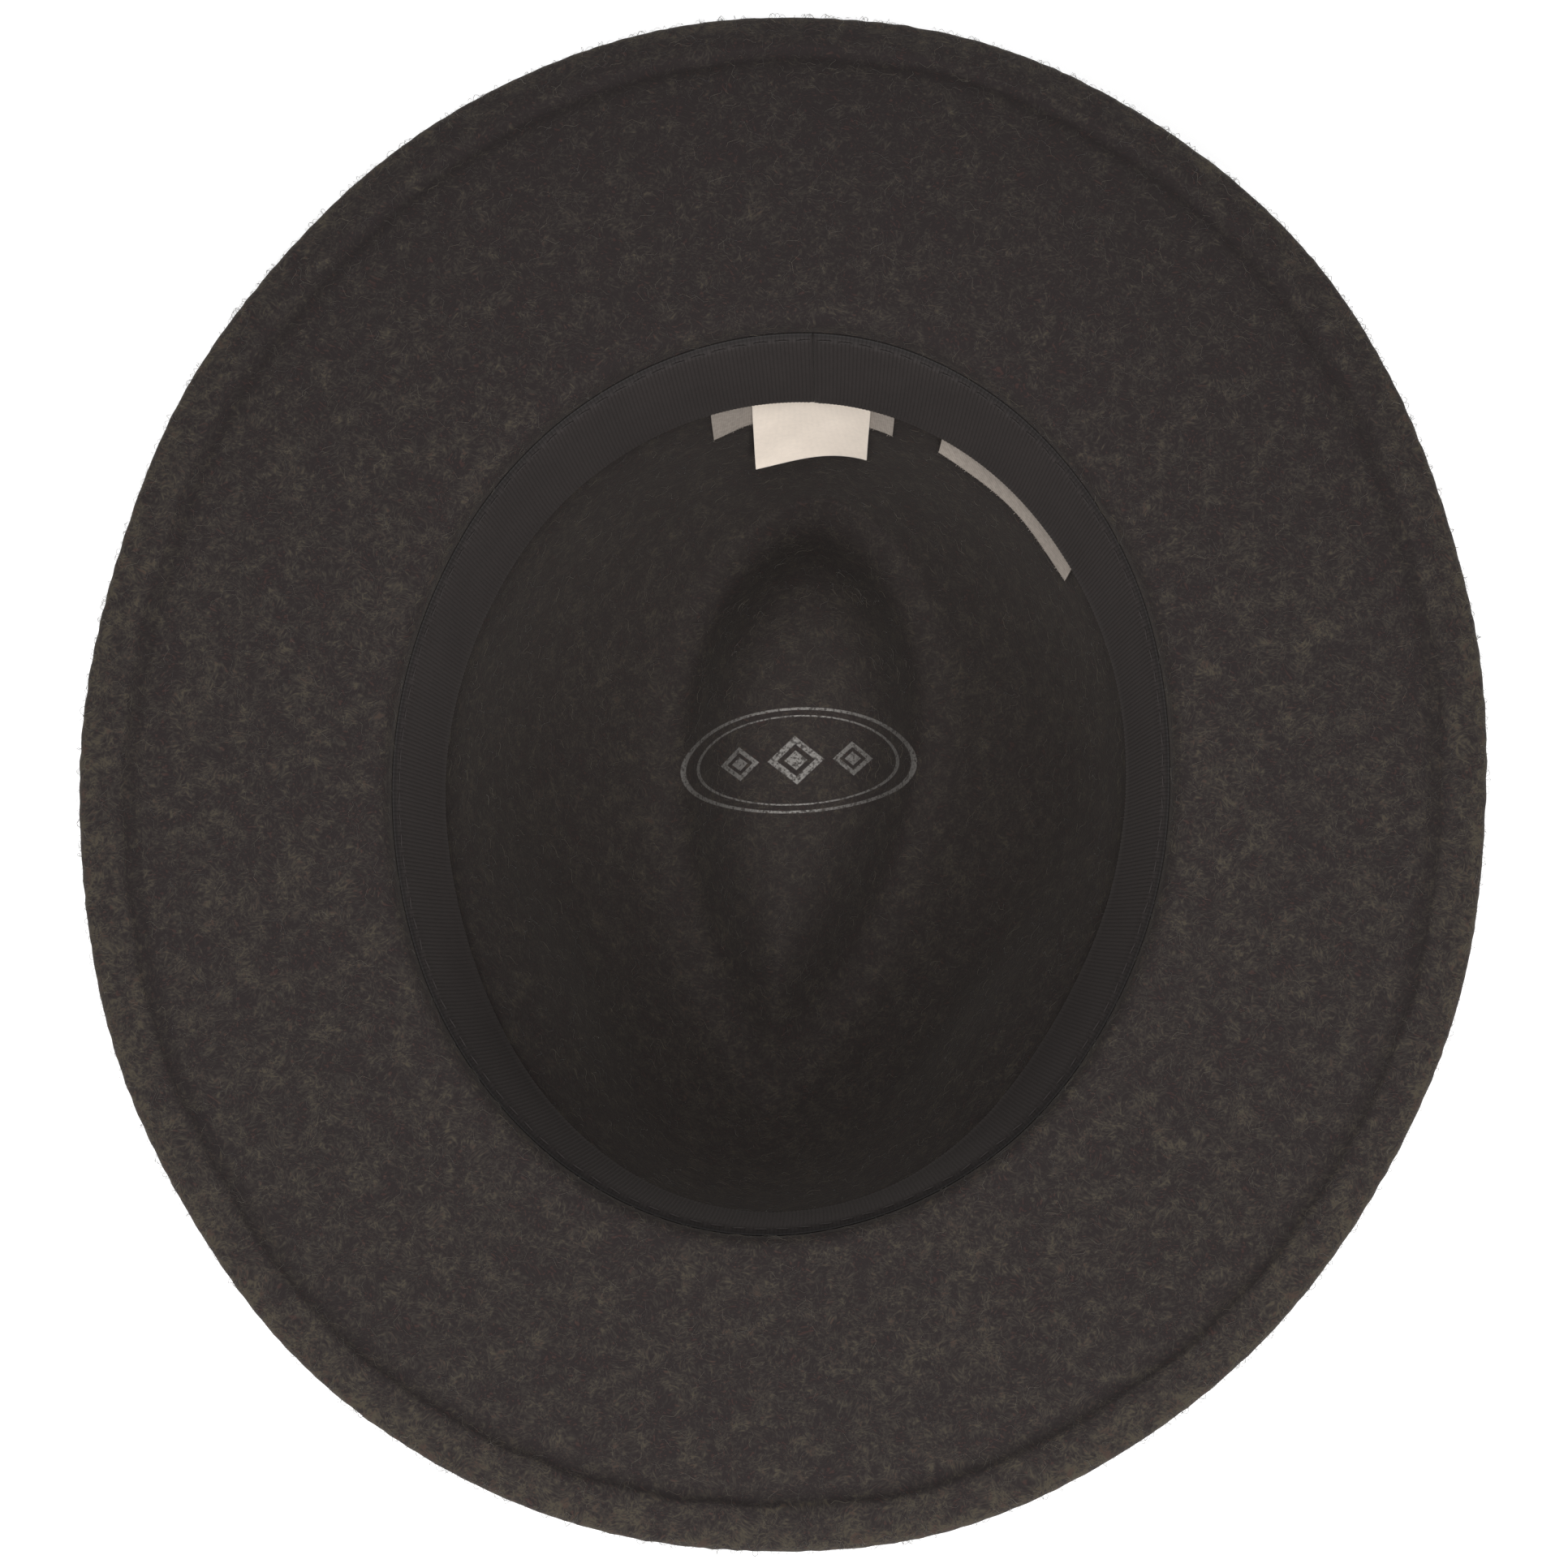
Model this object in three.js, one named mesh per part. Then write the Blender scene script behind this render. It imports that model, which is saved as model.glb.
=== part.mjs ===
// A wool-felt hat with a tapered teardrop crown and a level brim, lying on its crown with the opening up.
// Millimetres, +Z up. X runs across the hat, +Y points to its back and -Y to its front.
// The origin lies on the surface that the crown rests on, under the middle of the brim.
import * as THREE from "three";

// Crown: the head opening at the brim, and the teardrop ridge that the crown rests on.
const HEAD_WIDTH = 166;
const HEAD_LENGTH = 196;
const CROWN_DEPTH = 104;
const RIDGE_WIDTH = 61;
const RIDGE_TIP = 56;
const RIDGE_BACK = 83;
const RIDGE_WIDEST = 28;
const TIP_LIFT = 4;
const TIP_SHARPNESS = 1.7;
const BACK_SHARPNESS = 1.15;
const DENT_DEPTH = 27;

// The two finger pinches at the front of the crown.
const PINCH_DEPTH = 8;
const PINCH_ANGLE = 124;
const PINCH_SPREAD = 24;
const PINCH_LEVEL = 0.42;
const PINCH_REACH = 0.22;

// Brim, with its edge folded under to a welt.
const BRIM_SIDE = 66;
const BRIM_BACK = 72;
const BRIM_FRONT = 65;
const BREAK_RADIUS = 4;
const BREAK_TURN = 80;
const BRIM_CURL = 4;
const BRIM_DIP_SIDE = 3;
const BRIM_DIP_BACK = 12;
const BRIM_DIP_FRONT = 3;
const WELT_WIDTH = 10;
const WELT_RISE = 1.6;
const GROOVE_DEPTH = 0.3;

// Felt, and the strip along its ridge that is pressed flat where the hat rests.
const FELT = 2.2;
const REST_DEPTH = 0.8;
const REST_STRIP = 3;

// Ribbon sweatband, sewn in at the brim break. It leans off the wall as far as the labels behind it need.
const BAND_HEIGHT = 32;
const RIBBON = 1;
const SEWN_DROP = 1.5;
const SEWN_GAP = 0.4;
const SEAM_GAP = 0.4;
const SEAM_RUN = -2.5;

// Labels, tucked behind the sweatband's free edge. Runs are measured round the wall from the back.
const LABEL = 0.4;
const LABEL_GAP = 0.3;
const LABEL_TUCK = 5;
const CARE_LABEL_WIDTH = 27;
const CARE_LABEL_MIDDLE = -3;
const CARE_LABEL_DROP = 31;
const CARE_LABEL_FLARE = 2.8;
const TAPE_LENGTH = 42;
const BACK_TAPE_MIDDLE = -5;
const BACK_TAPE_DROP_LEFT = 19;
const BACK_TAPE_DROP_RIGHT = 15;
const SIDE_TAPE_MIDDLE = 50;
const SIDE_TAPE_DROP = 10;
const SIDE_TAPE_FLARE = 2.2;

// How finely the shapes are divided.
const AROUND = 72;
const WALL_STEPS = 13;
const DENT_STEPS = 7;
const BREAK_STEPS = 3;
const BRIM_STEPS = 4;
const EDGE_STEPS = 4;
const BAND_ROWS = 5;
const LABEL_ROWS = 5;
const LABEL_COLUMNS = 7;
const HALVINGS = 40;
const RUN_STEP = 0.5;

// The wall from the brim break down to the ridge. Level is a share of CROWN_DEPTH. Side, back and front are
// shares of the way from the head opening to the ridge, and point is how much of the teardrop has formed.
const WALL_ROWS = [
  { level: 1.0, side: 0.0, back: 0.0, front: 0.0, point: 0.0 },
  { level: 0.84, side: 0.055, back: 0.19, front: 0.07, point: 0.0 },
  { level: 0.67, side: 0.12, back: 0.37, front: 0.15, point: 0.0 },
  { level: 0.48, side: 0.235, back: 0.53, front: 0.27, point: 0.1 },
  { level: 0.33, side: 0.37, back: 0.64, front: 0.4, point: 0.25 },
  { level: 0.2, side: 0.545, back: 0.76, front: 0.57, point: 0.45 },
  { level: 0.1, side: 0.745, back: 0.87, front: 0.76, point: 0.7 },
  { level: 0.03, side: 0.91, back: 0.93, front: 0.92, point: 0.9 },
  { level: 0.0, side: 1.0, back: 1.0, front: 1.0, point: 1.0 },
];

// The dent in the crown's top, from the ridge to its middle. Size is a share of the ridge's own size, and
// lift a share of DENT_DEPTH.
const DENT_ROWS = [
  { size: 1.0, lift: 0.0, point: 1.0 },
  { size: 0.91, lift: 0.06, point: 1.0 },
  { size: 0.81, lift: 0.25, point: 0.95 },
  { size: 0.69, lift: 0.54, point: 0.8 },
  { size: 0.55, lift: 0.78, point: 0.55 },
  { size: 0.38, lift: 0.93, point: 0.25 },
  { size: 0.19, lift: 0.99, point: 0.1 },
  { size: 0.0, lift: 1.0, point: 0.0 },
];

// The welt's inner edge on the underside. Inset is a share of WELT_WIDTH from the brim's edge, and rise a
// share of WELT_RISE.
const WELT_ROWS = [
  { inset: 1.12, rise: 0.0, groove: 0 },
  { inset: 1.02, rise: 0.0, groove: 1 },
  { inset: 0.9, rise: 0.8, groove: 0 },
  { inset: 0.6, rise: 1.0, groove: 0 },
];

const VALLEY_HEIGHT = FELT - REST_DEPTH;
const BREAK_HEIGHT = VALLEY_HEIGHT + CROWN_DEPTH;
const radians = THREE.MathUtils.degToRad;
const mix = THREE.MathUtils.lerp;

// One column of a table, on a smooth curve through its rows. The place is 0 at the first and 1 at the last.
function read(rows, column, place) {
  const last = rows.length - 1;
  const at = Math.min(Math.max(place, 0), 1) * last;
  const row = Math.min(Math.floor(at), last - 1);
  const [before, from, to, after] = [-1, 0, 1, 2].map(
    (step) => rows[Math.min(Math.max(row + step, 0), last)][column],
  );
  const t = at - row;
  const slopeFrom = (to - before) / 2;
  const slopeTo = (after - from) / 2;
  return (
    (2 * t ** 3 - 3 * t ** 2 + 1) * from +
    (t ** 3 - 2 * t ** 2 + t) * slopeFrom +
    (3 * t ** 2 - 2 * t ** 3) * to +
    (t ** 3 - t ** 2) * slopeTo
  );
}

// A ring of the skin: its half width, its reach behind and ahead of the hat's middle and its height.
function wallRing(place) {
  const side = read(WALL_ROWS, "side", place);
  const level = read(WALL_ROWS, "level", place);
  return {
    halfWidth: mix(HEAD_WIDTH / 2, RIDGE_WIDTH / 2, side),
    back: mix(HEAD_LENGTH / 2, RIDGE_BACK, read(WALL_ROWS, "back", place)),
    front: mix(HEAD_LENGTH / 2, RIDGE_TIP, read(WALL_ROWS, "front", place)),
    widest: RIDGE_WIDEST * side,
    z: VALLEY_HEIGHT + CROWN_DEPTH * level,
    point: read(WALL_ROWS, "point", place),
    level,
    brim: 0,
  };
}

// A ring of the dent, drawn in from the ridge towards the teardrop's middle.
function dentRing(place) {
  const size = read(DENT_ROWS, "size", place);
  return {
    halfWidth: (RIDGE_WIDTH / 2) * size,
    back: mix(RIDGE_WIDEST, RIDGE_BACK, size),
    front: mix(-RIDGE_WIDEST, RIDGE_TIP, size),
    widest: RIDGE_WIDEST,
    z: VALLEY_HEIGHT + DENT_DEPTH * read(DENT_ROWS, "lift", place),
    point: read(DENT_ROWS, "point", place),
    level: 0,
    brim: 0,
  };
}

// An oval round the head opening, out by a share of the brim's width and then by a distance.
function oval(share, out, z) {
  return {
    halfWidth: HEAD_WIDTH / 2 + BRIM_SIDE * share + out,
    back: HEAD_LENGTH / 2 + BRIM_BACK * share + out,
    front: HEAD_LENGTH / 2 + BRIM_FRONT * share + out,
    widest: 0,
    z,
    point: 0,
    level: 1,
    brim: share + out / BRIM_SIDE,
  };
}

// A ring moved outwards by a distance, all round.
function grown(ring, out) {
  return { ...ring, halfWidth: ring.halfWidth + out, back: ring.back + out, front: ring.front + out };
}

// How far the brim has dropped at an angle, for a share of its width.
function brimDip(angle, share) {
  const along = Math.cos(angle);
  const end = along > 0 ? BRIM_DIP_BACK : BRIM_DIP_FRONT;
  return mix(BRIM_DIP_SIDE, end, along ** 2) * share ** BRIM_CURL;
}

// How far the finger pinches push the wall in, at an angle and a level of the crown.
function pinch(angle, level) {
  const fromBack = Math.abs(THREE.MathUtils.euclideanModulo(angle + Math.PI, 2 * Math.PI) - Math.PI);
  const round = (THREE.MathUtils.radToDeg(fromBack) - PINCH_ANGLE) / PINCH_SPREAD;
  const up = (level - PINCH_LEVEL) / PINCH_REACH;
  return PINCH_DEPTH * Math.exp(-(round ** 2) - up ** 2);
}

// The point of a ring at an angle, which runs clockwise from the back as seen from above.
function pointOn(ring, angle) {
  const across = Math.sin(angle);
  const along = Math.cos(angle);
  const toBack = along > 0;
  const reach = toBack ? ring.back - ring.widest : ring.front + ring.widest;
  const bend = mix(1, toBack ? BACK_SHARPNESS : TIP_SHARPNESS, ring.point);
  const outward = new THREE.Vector2(across / ring.halfWidth, along / reach).normalize();
  const pushed = pinch(angle, ring.level);
  const tip = TIP_LIFT * Math.max(0, -along) ** 4 * (1 - ring.level) * ring.point;
  return new THREE.Vector3(
    ring.halfWidth * Math.sign(across) * Math.abs(across) ** bend - outward.x * pushed,
    ring.widest + reach * along - outward.y * pushed,
    ring.z + tip - brimDip(angle, ring.brim),
  );
}

// The rings of the side that faces the head, from the crown's middle out to the welt.
function innerRings() {
  const rings = [];
  for (let i = DENT_STEPS - 1; i > 0; i--) rings.push(dentRing(i / DENT_STEPS));
  rings.push(grown(dentRing(0), -REST_STRIP / 2), grown(wallRing(1), REST_STRIP / 2));
  for (let i = WALL_STEPS - 1; i > 0; i--) rings.push(wallRing(i / WALL_STEPS));
  for (let i = 0; i <= BREAK_STEPS; i++) rings.push(breakRing(i / BREAK_STEPS));
  for (let i = 1; i <= BRIM_STEPS; i++) rings.push(brimRing(i / BRIM_STEPS));
  return rings;
}

// The wall's top ring rounds out into the brim.
function breakRing(share) {
  const turn = radians(BREAK_TURN) * share;
  return oval(0, BREAK_RADIUS * (1 - Math.cos(turn)), BREAK_HEIGHT + BREAK_RADIUS * Math.sin(turn));
}

// The brim's underside, from the break to the welt.
function brimRing(share) {
  const from = BREAK_RADIUS * (1 - Math.cos(radians(BREAK_TURN)));
  const to = -WELT_ROWS[0].inset * WELT_WIDTH;
  return oval(share, mix(from, to, share), BREAK_HEIGHT + BREAK_RADIUS);
}

// A ring of the welt, in from the brim's edge and up off the brim.
function weltRing(inset, rise) {
  return oval(1, -inset, BREAK_HEIGHT + BREAK_RADIUS + rise);
}

// The welt's rings: its inner edge, its flat and then the rounded edge of the brim.
function weltRings() {
  const flap = WELT_ROWS.slice(1).map((row) =>
    weltRing(row.inset * WELT_WIDTH, row.rise * WELT_RISE - row.groove * GROOVE_DEPTH),
  );
  const radius = (FELT + WELT_RISE) / 2;
  const edge = Array.from({ length: EDGE_STEPS + 1 }, (_, i) => {
    const turn = Math.PI * (0.5 - i / EDGE_STEPS);
    return weltRing(radius * (1 - Math.cos(turn)), WELT_RISE - radius + radius * Math.sin(turn));
  });
  return [...flap, ...edge];
}

// The same rings one felt thickness away, on the side that faces out.
function outerRings(inner) {
  return inner.map((ring, i) => {
    const before = inner[Math.max(i - 1, 0)];
    const after = inner[Math.min(i + 1, inner.length - 1)];
    const run = new THREE.Vector2(after.halfWidth - before.halfWidth, after.z - before.z).normalize();
    return { ...grown(ring, FELT * run.y), z: ring.z - FELT * run.x };
  });
}

// A mesh from its corner points and its triangles.
function geometryOf(points, faces) {
  const geometry = new THREE.BufferGeometry();
  geometry.setAttribute("position", new THREE.Float32BufferAttribute(points.flatMap((p) => p.toArray()), 3));
  geometry.setIndex(faces.flat());
  geometry.computeVertexNormals();
  return geometry;
}

// One closed skin through rings of points that starts and ends at a single point.
function closedSkin(firstPoint, rings, lastPoint) {
  const points = [firstPoint, ...rings.flat(), lastPoint];
  const faces = [];
  const at = (ring, step) => 1 + ring * AROUND + (step % AROUND);
  for (let step = 0; step < AROUND; step++) {
    faces.push([0, at(0, step + 1), at(0, step)]);
    for (let ring = 0; ring < rings.length - 1; ring++) {
      faces.push([at(ring, step), at(ring, step + 1), at(ring + 1, step + 1)]);
      faces.push([at(ring, step), at(ring + 1, step + 1), at(ring + 1, step)]);
    }
    faces.push([points.length - 1, at(rings.length - 1, step), at(rings.length - 1, step + 1)]);
  }
  return geometryOf(points, faces);
}

// The crown and brim: one piece of felt with a real wall, pressed flat where it rests.
function feltBody() {
  const inner = innerRings();
  const outer = outerRings(inner).reverse();
  const angles = Array.from({ length: AROUND }, (_, i) => (2 * Math.PI * i) / AROUND);
  const rested = (point) => point.setZ(Math.max(point.z, 0));
  const rings = [
    ...[...inner, ...weltRings()].map((ring) => angles.map((angle) => pointOn(ring, angle))),
    ...outer.map((ring) => angles.map((angle) => rested(pointOn(ring, angle)))),
  ];
  const top = new THREE.Vector3(0, RIDGE_WIDEST, VALLEY_HEIGHT + DENT_DEPTH);
  const underTop = top.clone().setZ(top.z - FELT);
  return closedSkin(top, rings, underTop);
}

// The place on the wall's inner face, in table terms, that lies a drop below the brim break.
function placeAtDrop(drop) {
  const wanted = 1 - drop / CROWN_DEPTH;
  let [low, high] = [0, 1];
  for (let i = 0; i < HALVINGS; i++) {
    const middle = (low + high) / 2;
    if (read(WALL_ROWS, "level", middle) > wanted) low = middle;
    else high = middle;
  }
  return (low + high) / 2;
}

// The point that stands off the wall's inner face, towards the head, at an angle and a drop below the break.
function offWall(angle, drop, gap) {
  const ring = wallRing(placeAtDrop(drop));
  return pointOn(grown(ring, -gap), angle);
}

// How far the sweatband's outer face stands off the wall at a drop below the break. Where the labels are
// tucked in, that leaves room for two of them with a gap on each side.
function bandGap(drop) {
  const stack = 2 * LABEL + 3 * LABEL_GAP;
  return mix(SEWN_GAP, stack, (drop - SEWN_DROP) / (BAND_HEIGHT - LABEL_TUCK));
}

// A closed strip through sections that each run down the inner face and back up the outer one.
function strip(sections) {
  const size = sections[0].length;
  const faces = [];
  const at = (section, corner) => section * size + (corner % size);
  for (let s = 0; s < sections.length - 1; s++) {
    for (let c = 0; c < size; c++) {
      faces.push([at(s, c), at(s + 1, c + 1), at(s + 1, c)]);
      faces.push([at(s, c), at(s, c + 1), at(s + 1, c + 1)]);
    }
  }
  const last = sections.length - 1;
  for (let c = 0; c < size / 2 - 1; c++) {
    const across = size - 1 - c;
    faces.push([at(0, c), at(0, across), at(0, across - 1)]);
    faces.push([at(0, c), at(0, across - 1), at(0, c + 1)]);
    faces.push([at(last, c), at(last, across - 1), at(last, across)]);
    faces.push([at(last, c), at(last, c + 1), at(last, across - 1)]);
  }
  return geometryOf(sections.flat(), faces);
}

// A section of cloth at an angle: rows from one drop to another, with an outer gap given by a function.
function clothSection(angle, from, to, rows, gapAt, thickness) {
  const drops = Array.from({ length: rows }, (_, i) => mix(from, to, i / (rows - 1)));
  const inner = drops.map((drop) => offWall(angle, drop, gapAt(drop) + thickness));
  const outer = drops.map((drop) => offWall(angle, drop, gapAt(drop)));
  return [...inner, ...outer.reverse()];
}

// The ribbon runs once round the wall, and its two ends meet near the back.
function sweatband() {
  const seam = SEAM_RUN / (HEAD_WIDTH / 2);
  const slit = SEAM_GAP / HEAD_WIDTH;
  const sections = Array.from({ length: AROUND + 1 }, (_, i) =>
    clothSection(
      seam + mix(slit, 2 * Math.PI - slit, i / AROUND),
      SEWN_DROP,
      SEWN_DROP + BAND_HEIGHT,
      BAND_ROWS,
      bandGap,
      RIBBON,
    ),
  );
  return strip(sections);
}

// The angle at which the wall, at the sweatband's free edge, has run a length from the back.
function angleAtRun(run) {
  const steps = 180 / RUN_STEP;
  const free = SEWN_DROP + BAND_HEIGHT;
  const turn = Math.sign(run) * radians(RUN_STEP);
  let from = offWall(0, free, 0);
  let length = 0;
  for (let i = 1; i <= steps; i++) {
    const to = offWall(turn * i, free, 0);
    const stretch = to.distanceTo(from);
    if (length + stretch >= Math.abs(run)) {
      return turn * (i - 1 + (Math.abs(run) - length) / stretch);
    }
    length += stretch;
    from = to;
  }
  return turn * steps;
}

// A label that lies along the wall and comes out from behind the sweatband. Its drop below the band's free
// edge may differ at its two ends, and its free end may flare off the wall.
function label(middle, width, dropLeft, dropRight, gap, flare = 0) {
  const free = SEWN_DROP + BAND_HEIGHT;
  const sections = Array.from({ length: LABEL_COLUMNS + 1 }, (_, i) => {
    const share = i / LABEL_COLUMNS;
    const drop = mix(dropLeft, dropRight, share);
    const gapAt = (at) => gap + flare * Math.max(0, (at - free) / drop) ** 2;
    const angle = angleAtRun(middle + width * (share - 0.5));
    return clothSection(angle, free - LABEL_TUCK, free + drop, LABEL_ROWS, gapAt, LABEL);
  });
  return strip(sections);
}

const feltMaterial = new THREE.MeshStandardMaterial({ color: 0x33302f, roughness: 0.95, metalness: 0 });
const ribbonMaterial = new THREE.MeshStandardMaterial({ color: 0x262624, roughness: 0.75, metalness: 0 });
const whiteMaterial = new THREE.MeshStandardMaterial({ color: 0xeae0d8, roughness: 0.6, metalness: 0 });
const tapeMaterial = new THREE.MeshStandardMaterial({ color: 0x918c89, roughness: 0.7, metalness: 0 });

// A mesh with its node's name.
function named(name, geometry, material) {
  const mesh = new THREE.Mesh(geometry, material);
  mesh.name = name;
  return mesh;
}

const backTape = label(BACK_TAPE_MIDDLE, TAPE_LENGTH, BACK_TAPE_DROP_LEFT, BACK_TAPE_DROP_RIGHT, LABEL_GAP);
const sideTape = label(
  SIDE_TAPE_MIDDLE,
  TAPE_LENGTH,
  SIDE_TAPE_DROP,
  SIDE_TAPE_DROP,
  LABEL_GAP,
  SIDE_TAPE_FLARE,
);
const careLabel = label(
  CARE_LABEL_MIDDLE,
  CARE_LABEL_WIDTH,
  CARE_LABEL_DROP,
  CARE_LABEL_DROP,
  2 * LABEL_GAP + LABEL,
  CARE_LABEL_FLARE,
);

const hat = new THREE.Group();
hat.position.y = (BRIM_FRONT - BRIM_BACK) / 2;
hat.add(
  named("felt_crown_and_brim", feltBody(), feltMaterial),
  named("ribbon_sweatband", sweatband(), ribbonMaterial),
  named("care_label", careLabel, whiteMaterial),
  named("back_tape", backTape, tapeMaterial),
  named("side_tape", sideTape, tapeMaterial),
);

export default hat;
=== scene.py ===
"""A felt hat lying on its crown, of heathered wool with loose fibres, a ribbed sweatband and bare labels.

Every length is in metres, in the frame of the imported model. The crown, brim, ribbon and labels follow the
same sizes and tables as the solids that they replace, and add the surface that the solids leave plain.
"""

import math
from collections import namedtuple

import bpy
import numpy as np
from bpy.props import FloatProperty, FloatVectorProperty, IntProperty, PointerProperty
from mathutils import Matrix, Vector, noise


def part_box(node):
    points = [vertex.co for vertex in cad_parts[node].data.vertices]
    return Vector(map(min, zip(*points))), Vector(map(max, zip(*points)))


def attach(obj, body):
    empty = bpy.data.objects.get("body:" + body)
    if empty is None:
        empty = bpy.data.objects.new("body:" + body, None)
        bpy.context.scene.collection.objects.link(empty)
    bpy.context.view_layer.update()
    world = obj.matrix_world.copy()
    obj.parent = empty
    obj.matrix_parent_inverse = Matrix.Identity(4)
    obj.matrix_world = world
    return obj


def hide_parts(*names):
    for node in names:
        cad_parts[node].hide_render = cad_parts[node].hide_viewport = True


bl_info = {
    "name": "Felt hat",
    "version": (1, 0, 0),
    "blender": (4, 5, 0),
    "location": "3D View > Sidebar > Hat",
    "description": "Makes a wool felt hat with a ribbon sweatband and bare labels, lying on its crown",
    "category": "Object",
}

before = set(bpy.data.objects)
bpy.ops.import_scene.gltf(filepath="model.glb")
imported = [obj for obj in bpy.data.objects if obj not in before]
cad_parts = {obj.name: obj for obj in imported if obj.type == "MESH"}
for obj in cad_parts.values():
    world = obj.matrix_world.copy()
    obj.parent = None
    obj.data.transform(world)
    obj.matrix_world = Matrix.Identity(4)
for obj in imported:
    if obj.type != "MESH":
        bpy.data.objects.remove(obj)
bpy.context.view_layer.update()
FELT_LOW, FELT_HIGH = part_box("felt_crown_and_brim")
BODY = "root"

# The wall from the brim break down to the ridge. Level is a share of the crown's depth. Side, back and front
# are shares of the way from the head opening to the ridge, and point is how much of the teardrop has formed.
WallRow = namedtuple("WallRow", "level side back front point")
WALL_ROWS = [WallRow(*row) for row in (
    (1.0, 0.0, 0.0, 0.0, 0.0),
    (0.84, 0.055, 0.19, 0.07, 0.0),
    (0.67, 0.12, 0.37, 0.15, 0.0),
    (0.48, 0.235, 0.53, 0.27, 0.1),
    (0.33, 0.37, 0.64, 0.4, 0.25),
    (0.2, 0.545, 0.76, 0.57, 0.45),
    (0.1, 0.745, 0.87, 0.76, 0.7),
    (0.03, 0.91, 0.93, 0.92, 0.9),
    (0.0, 1.0, 1.0, 1.0, 1.0),
)]

# The dent in the crown's top, from the ridge to its middle.
DentRow = namedtuple("DentRow", "size lift point")
DENT_ROWS = [DentRow(*row) for row in (
    (1.0, 0.0, 1.0),
    (0.91, 0.06, 1.0),
    (0.81, 0.25, 0.95),
    (0.69, 0.54, 0.8),
    (0.55, 0.78, 0.55),
    (0.38, 0.93, 0.25),
    (0.19, 0.99, 0.1),
    (0.0, 1.0, 0.0),
)]

# The welt's inner edge on the underside. Inset is a share of the welt's width from the brim's edge, and rise
# a share of its thickness.
WeltRow = namedtuple("WeltRow", "inset rise groove")
WELT_ROWS = [WeltRow(*row) for row in (
    (1.5, 0.0, 0.0),
    (1.3, 0.0, 0.4),
    (1.12, 0.0, 1.0),
    (1.0, 0.2, 0.7),
    (0.91, 0.6, 0.0),
    (0.8, 0.92, 0.0),
    (0.65, 1.06, 0.0),
    (0.42, 1.02, 0.0),
    (0.2, 0.9, 0.0),
)]

Ring = namedtuple("Ring", "half_width back front widest z point level brim")

# How finely the felt is divided: steps round it, and rings across each stretch.
CROWN_AROUND = 360
BRIM_AROUND = 720
EDGE_AROUND = 1440
DENT_RINGS = 22
WALL_RINGS = 52
BREAK_RINGS = 5
BRIM_RINGS = 14
WELT_RINGS = 14
EDGE_RINGS = 8

# How finely the ribbon, its sewing, the labels and each loose thread are divided.
WALL_SAMPLES = 1441
SEAM_SAMPLES = 2881
RIB_STEPS = 4
STITCH_PATH_STEPS = 720
LABEL_COLUMNS = 49
LABEL_ROWS = 17
THREAD_STEPS = 4
# The share of a label's length that its first and last step take.
CUT_EDGE = 0.006
# How often the search for a place on the wall halves its range.
HALVINGS = 40

# The places that fibres grow on.
OUTSIDE = 0
UNDER_BRIM = 1
IN_CROWN = 2
ON_EDGE = 3

# Each set of fibres: its place, its seed, and how long, lifted and thick it is beside the panel's sizes.
FibreSet = namedtuple("FibreSet", "name zone seed length lift thickness")
FIBRE_SETS = (
    FibreSet("brim_fibres", UNDER_BRIM, 11, 1.0, 1.0, 1.0),
    FibreSet("crown_fibres", IN_CROWN, 12, 1.0, 1.0, 1.0),
    FibreSet("outer_fibres", OUTSIDE, 13, 1.0, 1.0, 1.0),
    FibreSet("edge_fibres", ON_EDGE, 14, 0.55, 2.6, 1.6),
)

# The unevenness of the brim's edge: how long its slow drift, its grain and the fold's wander are, and how
# far the fold wanders.
DRIFT_REACH = 0.02
GRAIN_REACH = 0.0022
FOLD_REACH = 0.011
FOLD_DEPTH = 0.0008

# The ribbon: its rounded lip, how far its cut ends thin out, and how far its sewn edge is drawn to the felt.
RIBBON_LIP = 0.0004
END_REACH = 0.0012
SEWN_REACH = 0.0015
# Where its rows between the selvages begin and end, as shares of its height, and how many there are.
INNER_ROWS = (0.18, 0.86, 5)

# The crease pressed beside the ribbon's seam, and the step of the free edge at the seam.
CREASE_RUN = 0.0165
CREASE_DROP = 0.0195
CREASE_WIDTH = 0.0028
CREASE_HEIGHT = 0.0016
CREASE_DEPTH = 0.0006
SEAM_STEP = 0.0005
SEAM_STEP_REACH = 0.004

# The waves in the lower edges of the back and side labels: how deep, and how many radians from end to end.
BACK_WAVE = (0.0004, 23)
SIDE_WAVE = (0.0005, 9)

# The threads that stand out of a grey label's lower edge.
FRAY = {"Pitch": 0.0006, "Length": 0.0013, "Thickness": 0.00012}

# The foil ornament: how far in front of the teardrop's widest place it lies, its half size, its turn, how
# far its height in the dent shifts it, and its lozenges, each with its offset and half width.
ORNAMENT_AHEAD = 0.0102
ORNAMENT_HALF = (0.0265, 0.0118)
ORNAMENT_TURN = math.radians(-8)
ORNAMENT_LEAN = 0.11
LOZENGES = ((-0.0128, 0.0046), (0.0, 0.0066), (0.0128, 0.0046))

# How far in from the brim's edge the crown's painted fill light begins and is full: paler, warmer wool that
# stands in for light inside the crown.
CROWN_PAINTED_FILL = (0.066, 0.085)
# Painted light and shade in the flecks: where flecks thin out and how much, from the hat's middle to its
# back, which darkens the back and lightens the front a little as the front light does.
PAINTED_BACK_SHADE = (0.02, 0.14, 0.012, -0.055)
# Where the ribbon and labels take painted shade towards the front, and how dark: the band's front faces away
# from the front light.
PAINTED_CLOTH_FRONT_SHADE = (-0.095, -0.02, 0.80, 1.0)

# The camera's sensor and how far it sees.
SENSOR_WIDTH = 36.0
FARTHEST = 50.0

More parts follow.
